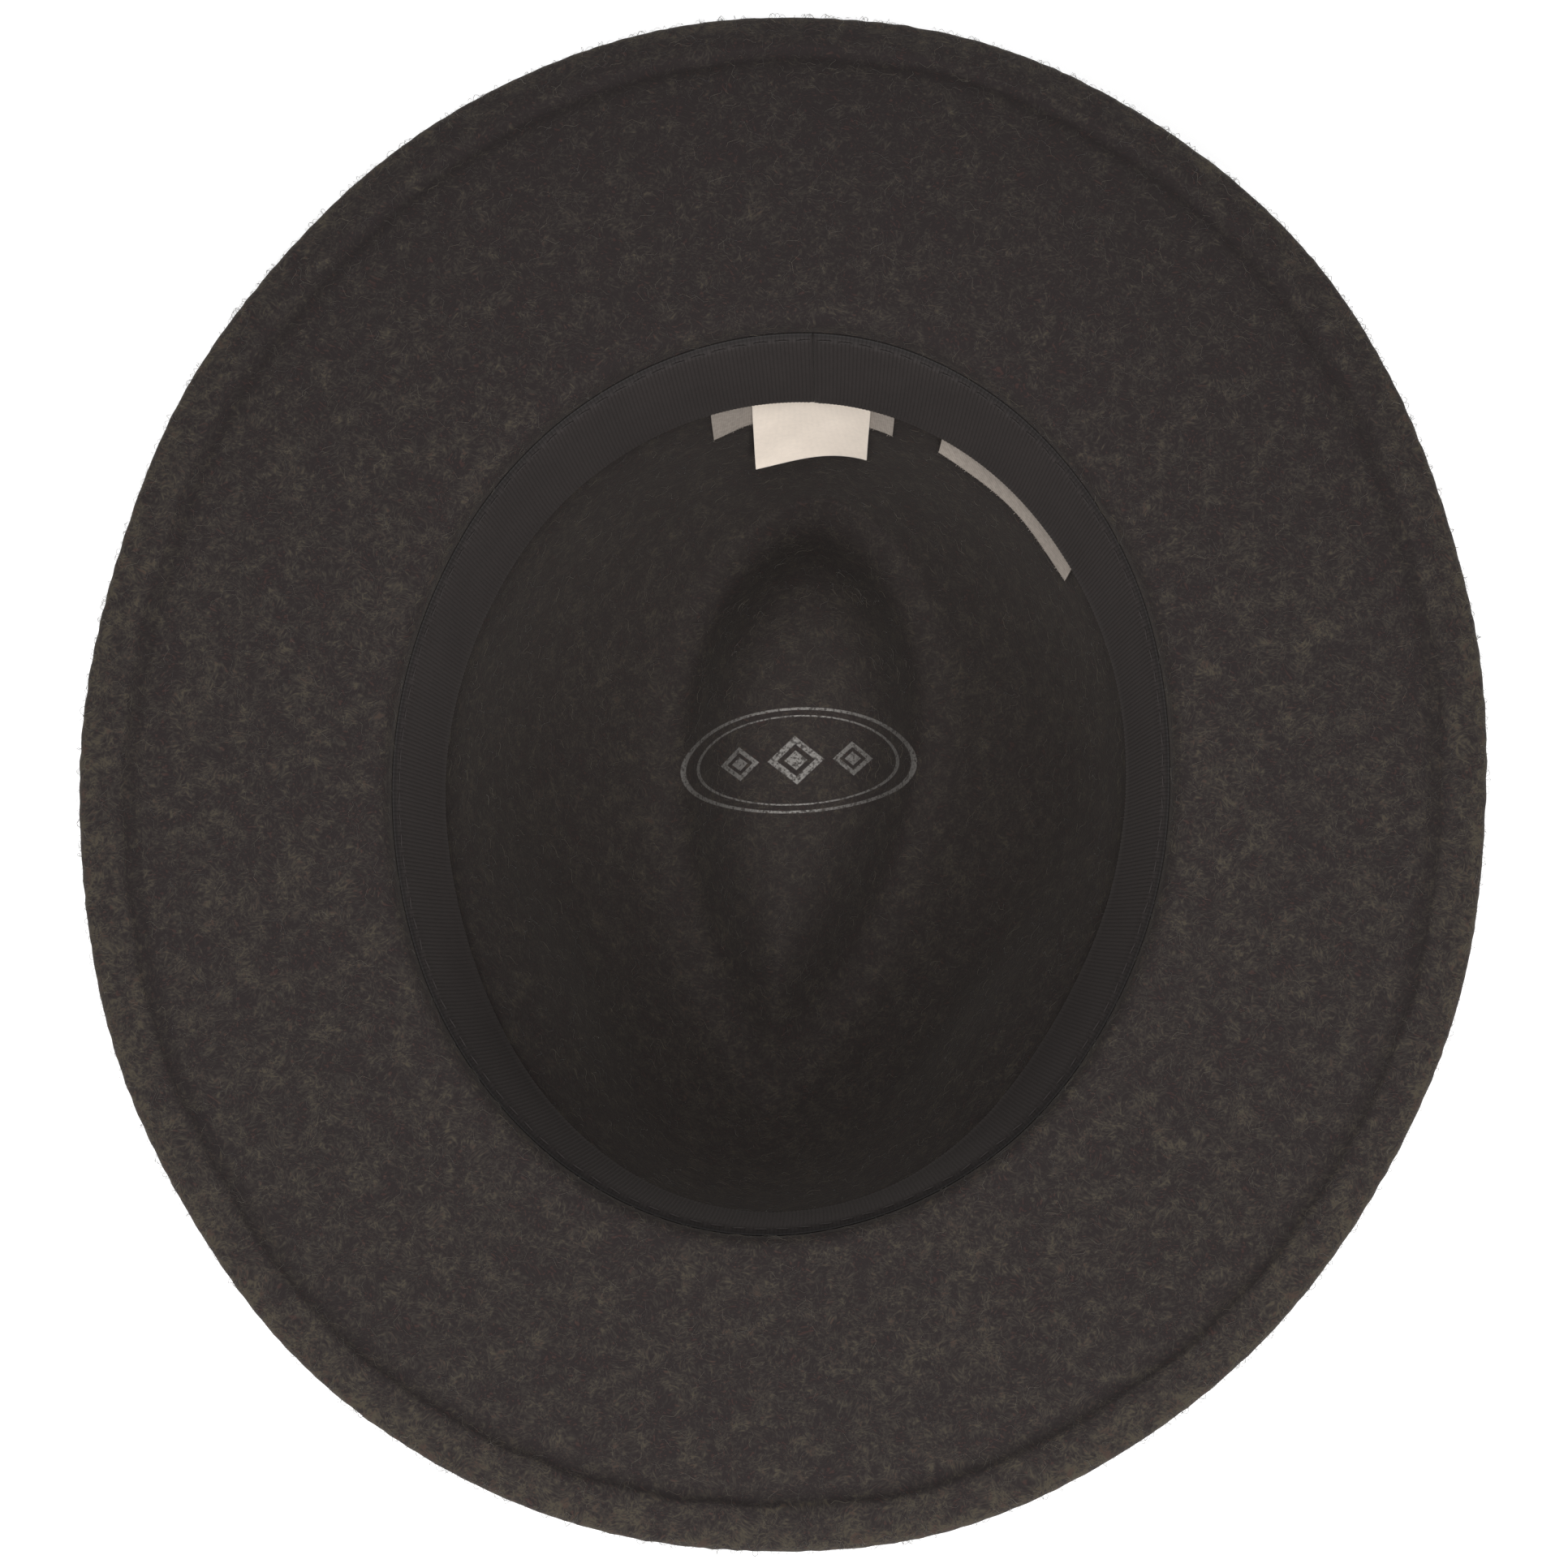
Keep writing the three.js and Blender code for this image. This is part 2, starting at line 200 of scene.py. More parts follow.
# The stage: half the floor's width, and each light with its strength's name on the panel.
FLOOR_HALF = 6.0
Light = namedtuple("Light", "name strength size place aim")
LIGHTS = (
    Light("front_light", "key", 0.9, (0.2, -1.08, 1.2), (0.0, 0.0, 0.08)),
    Light("top_light", "top", 1.0, (0.0, -0.2, 2.4), (0.0, 0.0, 0.0)),
)


def number(name, note, value):
    """A plain number on the panel."""
    return FloatProperty(name=name, description=note, default=value)


def metres(name, note, value):
    """A length on the panel."""
    return FloatProperty(name=name, description=note, default=value, unit="LENGTH")


def degrees(name, note, value):
    """An angle on the panel."""
    return FloatProperty(name=name, description=note, default=math.radians(value), subtype="ANGLE")


def linear_colour(name, note, value):
    """A colour on the panel, as linear light."""
    return FloatVectorProperty(name=name, description=note, default=value, subtype="COLOR")


class HatSizes(bpy.types.PropertyGroup):
    """Sizes of the felt body."""

    head_width: metres("Head width", "Across the head opening", 0.166)
    head_length: metres("Head length", "Along the head opening", 0.196)
    crown_depth: metres("Crown depth", "From the brim break to the ridge, inside", 0.104)
    ridge_width: metres("Ridge width", "Across the teardrop's ridge", 0.061)
    ridge_tip: metres("Ridge tip", "From the hat's middle to the teardrop's tip", 0.056)
    ridge_back: metres("Ridge back", "From the hat's middle to the teardrop's back", 0.083)
    ridge_widest: metres("Ridge widest", "How far back the teardrop is widest", 0.028)
    tip_lift: metres("Tip lift", "How far the ridge lifts at its tip", 0.004)
    tip_sharpness: number("Tip sharpness", "How pointed the teardrop is in front", 1.7)
    back_sharpness: number("Back sharpness", "How pointed the teardrop is behind", 1.15)
    dent_depth: metres("Dent depth", "How deep the teardrop dent is", 0.027)
    pinch_depth: metres("Pinch depth", "How far the finger pinches push in", 0.008)
    pinch_angle: degrees("Pinch angle", "Where a pinch is, round from the back", 124)
    pinch_spread: degrees("Pinch spread", "How far round a pinch reaches", 24)
    pinch_level: number("Pinch level", "Height of a pinch as a share of the crown", 0.42)
    pinch_reach: number("Pinch reach", "Height that a pinch covers, as a share", 0.22)
    brim_back_extra: metres("Extra at the back", "Brim width behind less in front", 0.007)
    brim_fullness: number("Brim fullness", "How far the outline fills its diagonals", 0.03)
    break_radius: metres("Break radius", "Rounding of the brim break", 0.004)
    break_turn: degrees("Break turn", "How far the break turns the felt", 80)
    brim_curl: number("Brim curl", "How late the brim starts to dip", 4.0)
    dip_side: metres("Dip at the sides", "Drop of the brim's edge at the sides", 0.003)
    dip_back: metres("Dip behind", "Drop of the brim's edge at the back", 0.012)
    dip_front: metres("Dip in front", "Drop of the brim's edge at the front", 0.003)
    welt_width: metres("Welt width", "Width of the folded edge", 0.010)
    welt_rise: metres("Welt rise", "Thickness of the folded flap", 0.0016)
    groove_depth: metres("Groove depth", "Depth of the groove beside the welt", 0.0006)
    valley_rounding: metres("Valley rounding", "Softness of the ridge seen inside", 0.0088)
    felt: metres("Felt", "Thickness of the felt", 0.0022)
    rest_depth: metres("Rest depth", "How far the ridge is pressed flat", 0.0008)
    sway: metres("Sway", "How far the felt wanders from its even form", 0.0009)
    sway_reach: metres("Sway reach", "How long a wander of the felt is", 0.055)
    sway_seed: IntProperty(name="Sway seed", description="Which wander of the felt", default=3, min=1)
    scallop: metres("Scallop", "Depth of the waves in the brim's edge", 0.00008)
    scallop_pitch: metres("Scallop pitch", "Length of a wave in the brim's edge", 0.0064)


class RibbonSizes(bpy.types.PropertyGroup):
    """Sizes of the sweatband and its sewing."""

    height: metres("Height", "Width of the ribbon", 0.032)
    ribbon: metres("Ribbon", "Thickness of the ribbon", 0.001)
    sewn_drop: metres("Sewn drop", "From the brim break to the sewn edge", 0.0015)
    sewn_gap: metres("Sewn gap", "From the felt to the sewn edge", 0.0004)
    seam_gap: metres("Seam gap", "Between the ribbon's two ends", 0.00002)
    seam_run: metres("Seam run", "Round from the back to the seam", -0.0025)
    edge_thickness: metres("Edge thickness", "Thickness of the ribbon at its edges", 0.00035)
    rib_pitch: metres("Rib pitch", "From rib to rib", 0.0009)
    rib_height: metres("Rib height", "How far a rib stands proud", 0.00022)
    selvage: metres("Selvage", "Width of the plain edges", 0.0016)
    stitch_pitch: metres("Stitch pitch", "From stitch to stitch", 0.0046)
    stitch_length: metres("Stitch length", "Length of one stitch", 0.0034)
    thread: metres("Thread", "Thickness of the thread", 0.00032)


class LabelSizes(bpy.types.PropertyGroup):
    """Sizes of the labels. Runs are measured round the wall from the back."""

    label: metres("Label", "Thickness of a label", 0.0004)
    gap: metres("Gap", "Between a label and its neighbours", 0.0003)
    tuck: metres("Tuck", "How far a label goes behind the ribbon", 0.005)
    care_width: metres("Care label width", "Width of the white label", 0.027)
    care_middle: metres("Care label place", "Run to the white label's middle", -0.003)
    care_drop: metres("Care label drop", "How far the white label shows", 0.031)
    care_flare: metres("Care label flare", "How far the white label lifts off", 0.0028)
    care_twist: metres("Care label twist", "How much more its left corner lifts off", 0.0014)
    tape_length: metres("Tape length", "Length of a grey label", 0.042)
    back_middle: metres("Back label place", "Run to the back label's middle", -0.005)
    back_drop_left: metres("Back drop left", "How far it shows at its left end", 0.017)
    back_drop_right: metres("Back drop right", "How far it shows at its right end", 0.0128)
    back_flare: metres("Back label flare", "How far its ends lift off", 0.0012)
    side_middle: metres("Side label place", "Run to the side label's middle", 0.0488)
    side_drop: metres("Side drop", "How far the side label shows", 0.0085)
    side_flare: metres("Side label flare", "How far the side label lifts off", 0.0015)


class FibreSizes(bpy.types.PropertyGroup):
    """Sizes of the loose fibres on the felt."""

    length: metres("Length", "Length of a loose fibre", 0.0034)
    lift: metres("Lift", "How far a loose fibre stands up", 0.00035)
    thickness: metres("Thickness", "Thickness of a loose fibre", 0.000045)
    count: IntProperty(name="Count", description="Fibres on each place", default=6200)


class HatColours(bpy.types.PropertyGroup):
    """Colours of the felt, the ribbon and the labels, as linear light."""

    dark: linear_colour("Dark wool", "Ground of the felt", (0.0183, 0.0146, 0.0145))
    olive: linear_colour("Olive wool", "Commonest fleck", (0.0290, 0.0244, 0.0216))
    beige: linear_colour("Beige wool", "Lighter fleck", (0.0545, 0.0452, 0.0325))
    rust: linear_colour("Rust wool", "Rare warm fleck", (0.046, 0.024, 0.021))
    ribbon: linear_colour("Ribbon", "Sweatband", (0.0308, 0.0260, 0.0249))
    white: linear_colour("White label", "Care label", (0.98, 0.86, 0.74))
    grey: linear_colour("Grey label", "Back and side labels", (0.335, 0.292, 0.255))
    foil: linear_colour("Foil", "Printed ornament in the crown", (0.17, 0.16, 0.15))


class StageSettings(bpy.types.PropertyGroup):
    """The camera's place and the lights."""

    tilt: degrees("Tilt", "Camera's lean to the hat's front", 10)
    yaw: degrees("Yaw", "Camera's lean to the hat's right", 2.1)
    roll: degrees("Roll", "How far the hat is turned in the picture", 5.4)
    distance: metres("Distance", "From the brim to the camera", 1.243)
    lens: number("Lens", "Focal length in millimetres", 135.0)
    aim: FloatVectorProperty(name="Aim", description="Point at the picture's middle", subtype="XYZ",
                             default=(0.0008, -0.0056, 0.109))
    key: number("Key light", "Strength of the light from the front", 18.0)
    top: number("Top light", "Strength of the light from above", 33.0)
    surround: number("Surround", "Strength of the even light", 0.46)


def column(rows, name, place):
    """One column of a table, on a smooth curve through its rows from the first (0) to the last (1)."""
    last = len(rows) - 1
    at = min(max(place, 0.0), 1.0) * last
    row = min(int(at), last - 1)
    four = [rows[min(max(row + step, 0), last)] for step in (-1, 0, 1, 2)]
    before, start, end, after = (getattr(near, name) for near in four)
    t = at - row
    return (
        (2 * t**3 - 3 * t**2 + 1) * start
        + (t**3 - 2 * t**2 + t) * (end - before) / 2
        + (3 * t**2 - 2 * t**3) * end
        + (t**3 - t**2) * (after - start) / 2
    )


def mix(low, high, share):
    """The value a share of the way from low to high."""
    return low + (high - low) * share


def steps_along(points, closed=False):
    """The lengths from point to point, and back to the first one if the line is closed."""
    line = np.concatenate([points, points[:1]]) if closed else points
    return np.linalg.norm(np.diff(line, axis=0), axis=1)


def run_along(steps):
    """How far each point lies along a line of such steps."""
    return np.concatenate([[0], np.cumsum(steps)])


def noise_at(points, reach):
    """A smooth noise at the points, whose waves are about a reach long."""
    return np.array([noise.noise(Vector(p) / reach) for p in points])


class Form:
    """The hat's skin, worked out from its sizes as rings that run clockwise from the back."""

    def __init__(self, sizes):
        self.size = sizes
        self.valley = sizes.felt - sizes.rest_depth
        self.break_height = self.valley + sizes.crown_depth
        self.brim_side = (FELT_HIGH[0] - FELT_LOW[0] - sizes.head_width) / 2
        ends = FELT_HIGH[1] - FELT_LOW[1] - sizes.head_length
        self.brim_front = (ends - sizes.brim_back_extra) / 2
        self.brim_back = self.brim_front + sizes.brim_back_extra
        self.forward = (self.brim_front - self.brim_back) / 2
        noise.seed_set(sizes.sway_seed)

    def wall(self, place):
        """A ring of the wall's inner face, from the brim break (0) to the ridge (1)."""
        size = self.size
        side = column(WALL_ROWS, "side", place)
        level = column(WALL_ROWS, "level", place)
        return Ring(
            half_width=mix(size.head_width, size.ridge_width, side) / 2,
            back=mix(size.head_length / 2, size.ridge_back, column(WALL_ROWS, "back", place)),
            front=mix(size.head_length / 2, size.ridge_tip, column(WALL_ROWS, "front", place)),
            widest=size.ridge_widest * side,
            z=self.valley + size.crown_depth * level,
            point=column(WALL_ROWS, "point", place),
            level=level,
            brim=0.0,
        )

    def dent(self, place):
        """A ring of the dent's inner face, from the ridge (0) to the teardrop's middle (1)."""
        size = self.size
        share = column(DENT_ROWS, "size", place)
        return Ring(
            half_width=size.ridge_width / 2 * share,
            back=mix(size.ridge_widest, size.ridge_back, share),
            front=mix(-size.ridge_widest, size.ridge_tip, share),
            widest=size.ridge_widest,
            z=self.valley + size.dent_depth * column(DENT_ROWS, "lift", place),
            point=column(DENT_ROWS, "point", place),
            level=0.0,
            brim=0.0,
        )

    def oval(self, share, out, z):
        """A ring round the head opening, out by a share of the brim's width and then by a distance."""
        size = self.size
        return Ring(
            half_width=size.head_width / 2 + self.brim_side * share + out,
            back=size.head_length / 2 + self.brim_back * share + out,
            front=size.head_length / 2 + self.brim_front * share + out,
            widest=0.0,
            z=z,
            point=0.0,
            level=1.0,
            brim=share + out / self.brim_side,
        )

    def grown(self, ring, out):
        """A ring moved outwards by a distance, all round."""
        return ring._replace(half_width=ring.half_width + out, back=ring.back + out, front=ring.front + out)

    def pinch(self, angles, level):
        """How far the two finger pinches push the wall in."""
        size = self.size
        from_back = np.abs(np.mod(angles + math.pi, 2 * math.pi) - math.pi)
        round_it = (from_back - size.pinch_angle) / size.pinch_spread
        up = (level - size.pinch_level) / size.pinch_reach
        return size.pinch_depth * np.exp(-(round_it**2) - up**2)

    def points(self, ring, angles):
        """The ring's points at the angles."""
        size = self.size
        across, along = np.sin(angles), np.cos(angles)
        reach = np.where(along > 0, ring.back - ring.widest, ring.front + ring.widest)
        bend = 1 + (np.where(along > 0, size.back_sharpness, size.tip_sharpness) - 1) * ring.point
        bend = bend - size.brim_fullness * min(abs(ring.brim), 1.0)
        outward = np.stack([across / ring.half_width, along / reach])
        outward /= np.linalg.norm(outward, axis=0)
        pushed = self.pinch(angles, ring.level)
        tip = size.tip_lift * np.maximum(0, -along) ** 4 * (1 - ring.level) * ring.point
        end = np.where(along > 0, size.dip_back, size.dip_front)
        dip = mix(size.dip_side, end, along**2) * abs(ring.brim) ** size.brim_curl
        x = ring.half_width * np.sign(across) * np.abs(across) ** bend - outward[0] * pushed
        y = ring.widest + reach * along - outward[1] * pushed + self.forward
        return np.stack([x, y, ring.z + tip - dip], axis=1)

    def place_at_drop(self, drop):
        """The place on the wall that lies a drop below the brim break."""
        low, high = 0.0, 1.0
        for _ in range(HALVINGS):
            middle = (low + high) / 2
            if column(WALL_ROWS, "level", middle) > 1 - drop / self.size.crown_depth:
                low = middle
            else:
                high = middle
        return (low + high) / 2

    def off_wall(self, angles, drop, gap):
        """Points that stand off the wall towards the head, at a drop below the break."""
        ring = self.grown(self.wall(self.place_at_drop(drop)), -gap)
        return self.points(ring, np.asarray(angles, float))

    def swayed(self, points):
        """The points, wandering a little as blocked felt does, but not where the hat rests."""
        size = self.size
        wander = np.array([noise.noise_vector(Vector(p) / size.sway_reach) for p in points])
        free = np.clip((points[:, 2] - 2 * size.felt) / size.dent_depth, 0, 1)[:, None]
        return points + wander * size.sway * free

    def angle_at_run(self, run, drop):
        """The angle at which the wall has run a length round from the back, at a drop below the break."""
        angles = np.linspace(-math.pi, math.pi, WALL_SAMPLES)
        runs = run_along(steps_along(self.off_wall(angles, drop, 0.0)))
        return np.interp(run, runs - np.interp(0.0, angles, runs), angles)


class Nodes:
    """Adds nodes to a tree, so that a tree reads as a list of steps."""

    def __init__(self, tree):
        self.tree = tree

    def add(self, kind, inputs=None, **settings):
        """A node with its settings, and its inputs by name or place, as values or as outputs of others."""
        node = self.tree.nodes.new(kind)
        for key, value in settings.items():
            setattr(node, key, value)
        for key, value in (inputs or {}).items():
            socket = node.inputs[key]
            if isinstance(value, bpy.types.NodeSocket):
                self.tree.links.new(value, socket)
            else:
                socket.default_value = value
        return node

    def made(self, kind, inputs=None, **settings):
        """The first output of a new node."""
        return self.add(kind, inputs, **settings).outputs[0]

    def link(self, output, socket):
        """Joins an output to an input."""
        self.tree.links.new(output, socket)

    def math(self, operation, first, second=0.0):
        """The output of a Math node."""
        return self.made("ShaderNodeMath", {0: first, 1: second}, operation=operation)

    def plus(self, first, second):
        """The sum of two numbers."""
        return self.math("ADD", first, second)

    def minus(self, first, second):
        """The first number less the second."""
        return self.math("SUBTRACT", first, second)

    def times(self, first, second):
        """The product of two numbers."""
        return self.math("MULTIPLY", first, second)

    def away(self, first, second):
        """How far apart two numbers are."""
        return self.math("ABSOLUTE", self.minus(first, second))

    def vector(self, operation, first, second):
        """The vector output of a Vector Math node."""
        return self.made("ShaderNodeVectorMath", {0: first, 1: second}, operation=operation)

    def length(self, vector):
        """The length of a vector."""
        return self.add("ShaderNodeVectorMath", {0: vector}, operation="LENGTH").outputs["Value"]

    def combined(self, x=0.0, y=0.0, z=0.0):
        """The vector of three numbers."""
        return self.made("ShaderNodeCombineXYZ", {0: x, 1: y, 2: z})

    def parts(self, vector):
        """The three numbers of a vector."""
        return self.add("ShaderNodeSeparateXYZ", {0: vector}).outputs

    def place(self):
        """The place on the object's own measure."""
        return self.add("ShaderNodeTexCoord").outputs["Object"]

    def attribute(self, name, output="Fac"):
        """A named attribute of the mesh, in a material."""
        return self.add("ShaderNodeAttribute", attribute_name=name).outputs[output]

    def scaled(self, vector, factor):
        """The vector times a number."""
        return self.made("ShaderNodeVectorMath", {0: vector, "Scale": factor}, operation="SCALE")

    def ramp(self, value, low, high, to_low=0.0, to_high=1.0):
        """The value eased from one range to another, and held within it."""
        limits = {"Value": value, 1: low, 2: high, 3: to_low, 4: to_high}
        return self.made("ShaderNodeMapRange", limits, interpolation_type="SMOOTHSTEP")

    def noise(self, vector, scale, detail=2.0, roughness=0.5):
        """The factor of a Noise Texture."""
        inputs = {"Vector": vector, "Scale": scale, "Detail": detail, "Roughness": roughness}
        return self.made("ShaderNodeTexNoise", inputs)

    def blend(self, factor, first, second, kind="MIX"):
        """Two colours mixed by a factor."""
        inputs = {0: factor, 6: first, 7: second}
        return self.add("ShaderNodeMix", inputs, data_type="RGBA", blend_type=kind).outputs[2]

    def turned(self, vector, kind, **inputs):
        """The vector turned about one axis or several."""
        return self.made("ShaderNodeVectorRotate", {"Vector": vector, **inputs}, rotation_type=kind)

    def bump(self, height, strength, distance):
        """The normal of a surface with small heights on it."""
        return self.made("ShaderNodeBump", {"Height": height, "Strength": strength, "Distance": distance})


def opaque(colour, strength=1.0):
    """A colour from the panel as a socket takes it, times a strength."""
    return tuple(channel * strength for channel in colour) + (1.0,)


def new_group(name, inputs, outputs, kind="ShaderNodeTree"):
    """A node tree with its sockets, and its nodes, its inputs and its output node."""
    tree = bpy.data.node_groups.new(name, kind)
    for label, sort, default in inputs:
        socket = tree.interface.new_socket(label, in_out="INPUT", socket_type="NodeSocket" + sort)
        if default is not None:
            socket.default_value = default
    for label, sort in outputs:
        tree.interface.new_socket(label, in_out="OUTPUT", socket_type="NodeSocket" + sort)
    nodes = Nodes(tree)
    return nodes, nodes.add("NodeGroupInput").outputs, nodes.add("NodeGroupOutput")


WOOL_COLOURS = ("Dark", "Olive", "Beige", "Rust")
# How strands of wool lie: the lean out of the flat and the turn within it, in radians.
STRAND_TURNS = ((0.25, 0.2), (-0.3, 1.15), (0.2, 1.95), (-0.25, 2.75), (1.25, 0.65))


def wool_group():
    """Heathered wool: bent strands that cross each other, paler where they gather in clumps."""
    nodes, given, result = new_group(
        "heathered_wool",
        [
            ("Vector", "Vector", None), *((name, "Color", None) for name in WOOL_COLOURS),
            ("Strand Width", "Float", 0.00046), ("Clump Size", "Float", 0.0043),
            ("Clumping", "Float", 0.64), ("Extra Flecks", "Float", 0.0),
        ],
        [("Color", "Color"), ("Height", "Float")],
    )
    at = given["Vector"]
    strand_scale = nodes.math("DIVIDE", 1.0, given["Strand Width"])
    clump_scale = nodes.math("DIVIDE", 1.0, given["Clump Size"])
    bent = nodes.add("ShaderNodeTexNoise", {"Vector": at, "Scale": 190.0, "Detail": 0.0}).outputs[1]
    curl = nodes.vector("ADD", at, nodes.scaled(nodes.vector("SUBTRACT", bent, (0.5, 0.5, 0.5)), 0.0042))
    strands = []
    for tilt, turn in STRAND_TURNS:
        turned = nodes.turned(curl, "EULER_XYZ", Rotation=(tilt, 0.0, turn))
        drawn_out = nodes.vector("MULTIPLY", turned, (0.29, 1.0, 1.0))
        strands.append(nodes.noise(drawn_out, strand_scale, 0.6, 0.5))
    top = strands[0]
    for strand in strands[1:]:
        top = nodes.math("MAXIMUM", top, strand)
    clump = nodes.noise(at, clump_scale, 2.0, 0.82)
    gathered = nodes.times(nodes.minus(clump, 0.5), given["Clumping"])
    shown = nodes.plus(nodes.plus(top, gathered), given["Extra Flecks"])
    olive = nodes.ramp(shown, 0.54, 0.76)
    beige = nodes.ramp(shown, 0.70, 0.88)
    warm = nodes.ramp(nodes.minus(strands[-1], gathered), 0.68, 0.77)
    colour = nodes.blend(olive, given["Dark"], given["Olive"])
    hue = nodes.ramp(nodes.noise(at, 330.0, 1.0, 0.6), 0.52, 0.66, 0.0, 0.6)
    fleck = nodes.blend(hue, given["Beige"], given["Rust"])
    colour = nodes.blend(nodes.times(beige, 0.76), colour, fleck)
    colour = nodes.blend(nodes.times(warm, 0.5), colour, given["Rust"])
    grain = nodes.noise(at, nodes.times(strand_scale, 1.7), 1.0, 0.6)
    height = nodes.plus(nodes.times(strands[0], 0.5), nodes.times(strands[2], 0.5))
    height = nodes.plus(height, nodes.times(grain, 0.35))
    nodes.link(colour, result.inputs["Color"])
    nodes.link(height, result.inputs["Height"])
    return nodes.tree


def weave_group():
    """A plain or ribbed weave on cloth's own measure: threads across, threads along and uneven yarn."""
    nodes, given, result = new_group(
        "woven_cloth",
        [
            ("Vector", "Vector", None), ("Along Pitch", "Float", 0.0008),
            ("Across Pitch", "Float", 0.0003), ("Unevenness", "Float", 0.3),
        ],
        [("Shade", "Float"), ("Height", "Float")],
    )
    parts = nodes.parts(given["Vector"])

    def threads(run, pitch):
        turns = nodes.times(nodes.math("DIVIDE", run, pitch), math.pi)
        return nodes.math("ABSOLUTE", nodes.math("SINE", turns))

    along = threads(parts[0], given["Along Pitch"])
    across = threads(parts[1], given["Across Pitch"])
    yarn = nodes.noise(given["Vector"], 900.0, 1.0, 0.6)
    uneven = nodes.times(nodes.minus(yarn, 0.5), given["Unevenness"])
    height = nodes.plus(nodes.times(along, 0.7), nodes.times(across, 0.3))
    height = nodes.plus(height, uneven)
    # The shade darkens the cloth between ribs and threads as painted shade, and adds the yarn's own uneven
    # tone.
    shade = nodes.plus(nodes.ramp(along, 0.0, 0.55, 0.62, 1.0), uneven)
    shade = nodes.times(shade, nodes.ramp(across, 0.0, 0.5, 0.94, 1.0))
    nodes.link(shade, result.inputs["Shade"])
    nodes.link(height, result.inputs["Height"])
    return nodes.tree


def shared_group(name, build):
    """A node group that is built the first time that a material asks for it."""
    return bpy.data.node_groups.get(name) or build()


def new_material(name, **shader):
    """A material with its own shader, whose even values are set on the shader's sockets."""
    material = bpy.data.materials.new(name)
    material.use_nodes = True
    material.node_tree.nodes.clear()
    nodes = Nodes(material.node_tree)
    output = nodes.add("ShaderNodeOutputMaterial")
    principled = nodes.add("ShaderNodeBsdfPrincipled")
    for key, value in shader.items():
        principled.inputs[key.replace("_", " ")].default_value = value
    nodes.link(principled.outputs[0], output.inputs["Surface"])
    return material, nodes, principled


def inside_mask(nodes):
    """A mask that is 1 on the felt's inner skin."""
    return nodes.attribute("inside")


def ornament(nodes, at, form):
    """The mask of the ornament in the crown: two oval lines round three lozenges, worn thin in places."""
    centre = (0.0, form.size.ridge_widest + form.forward - ORNAMENT_AHEAD, 0.0)
    half_width, half_height = ORNAMENT_HALF
    depth = nodes.parts(at)[2]
    lean = nodes.times(nodes.minus(depth, form.valley + form.size.dent_depth), ORNAMENT_LEAN)
    level = nodes.vector("ADD", at, nodes.combined(y=lean))
    placed = nodes.turned(level, "Z_AXIS", Center=centre, Angle=ORNAMENT_TURN)
    placed = nodes.vector("SUBTRACT", placed, centre)
    flat = nodes.vector("MULTIPLY", placed, (1 / half_width, 1 / half_height, 0.0))
    radius = nodes.length(flat)

    def line(at_radius, width):
        off = nodes.away(radius, at_radius)
        return nodes.ramp(off, width * 0.6, width, 1.0, 0.0)

    mask = nodes.math("MAXIMUM", line(1.0, 0.030), line(0.86, 0.018))
    parts = nodes.parts(placed)
    for offset, reach in LOZENGES:
        beside = nodes.away(parts[0], offset)
        above = nodes.times(nodes.math("ABSOLUTE", parts[1]), 1.15)
        spread = nodes.plus(beside, above)
        solid = nodes.ramp(spread, reach * 0.94, reach, 1.0, 0.0)
        hollow = nodes.ramp(spread, reach * 0.62, reach * 0.68)
        core = nodes.ramp(spread, reach * 0.36, reach * 0.42, 1.0, 0.0)
        mask = nodes.math("MAXIMUM", mask, nodes.times(solid, nodes.math("MAXIMUM", hollow, core)))
    worn = nodes.ramp(nodes.noise(at, 1300.0, 1.0, 0.65), 0.32, 0.56, 0.2, 1.0)
    return nodes.times(nodes.times(mask, worn), inside_mask(nodes))


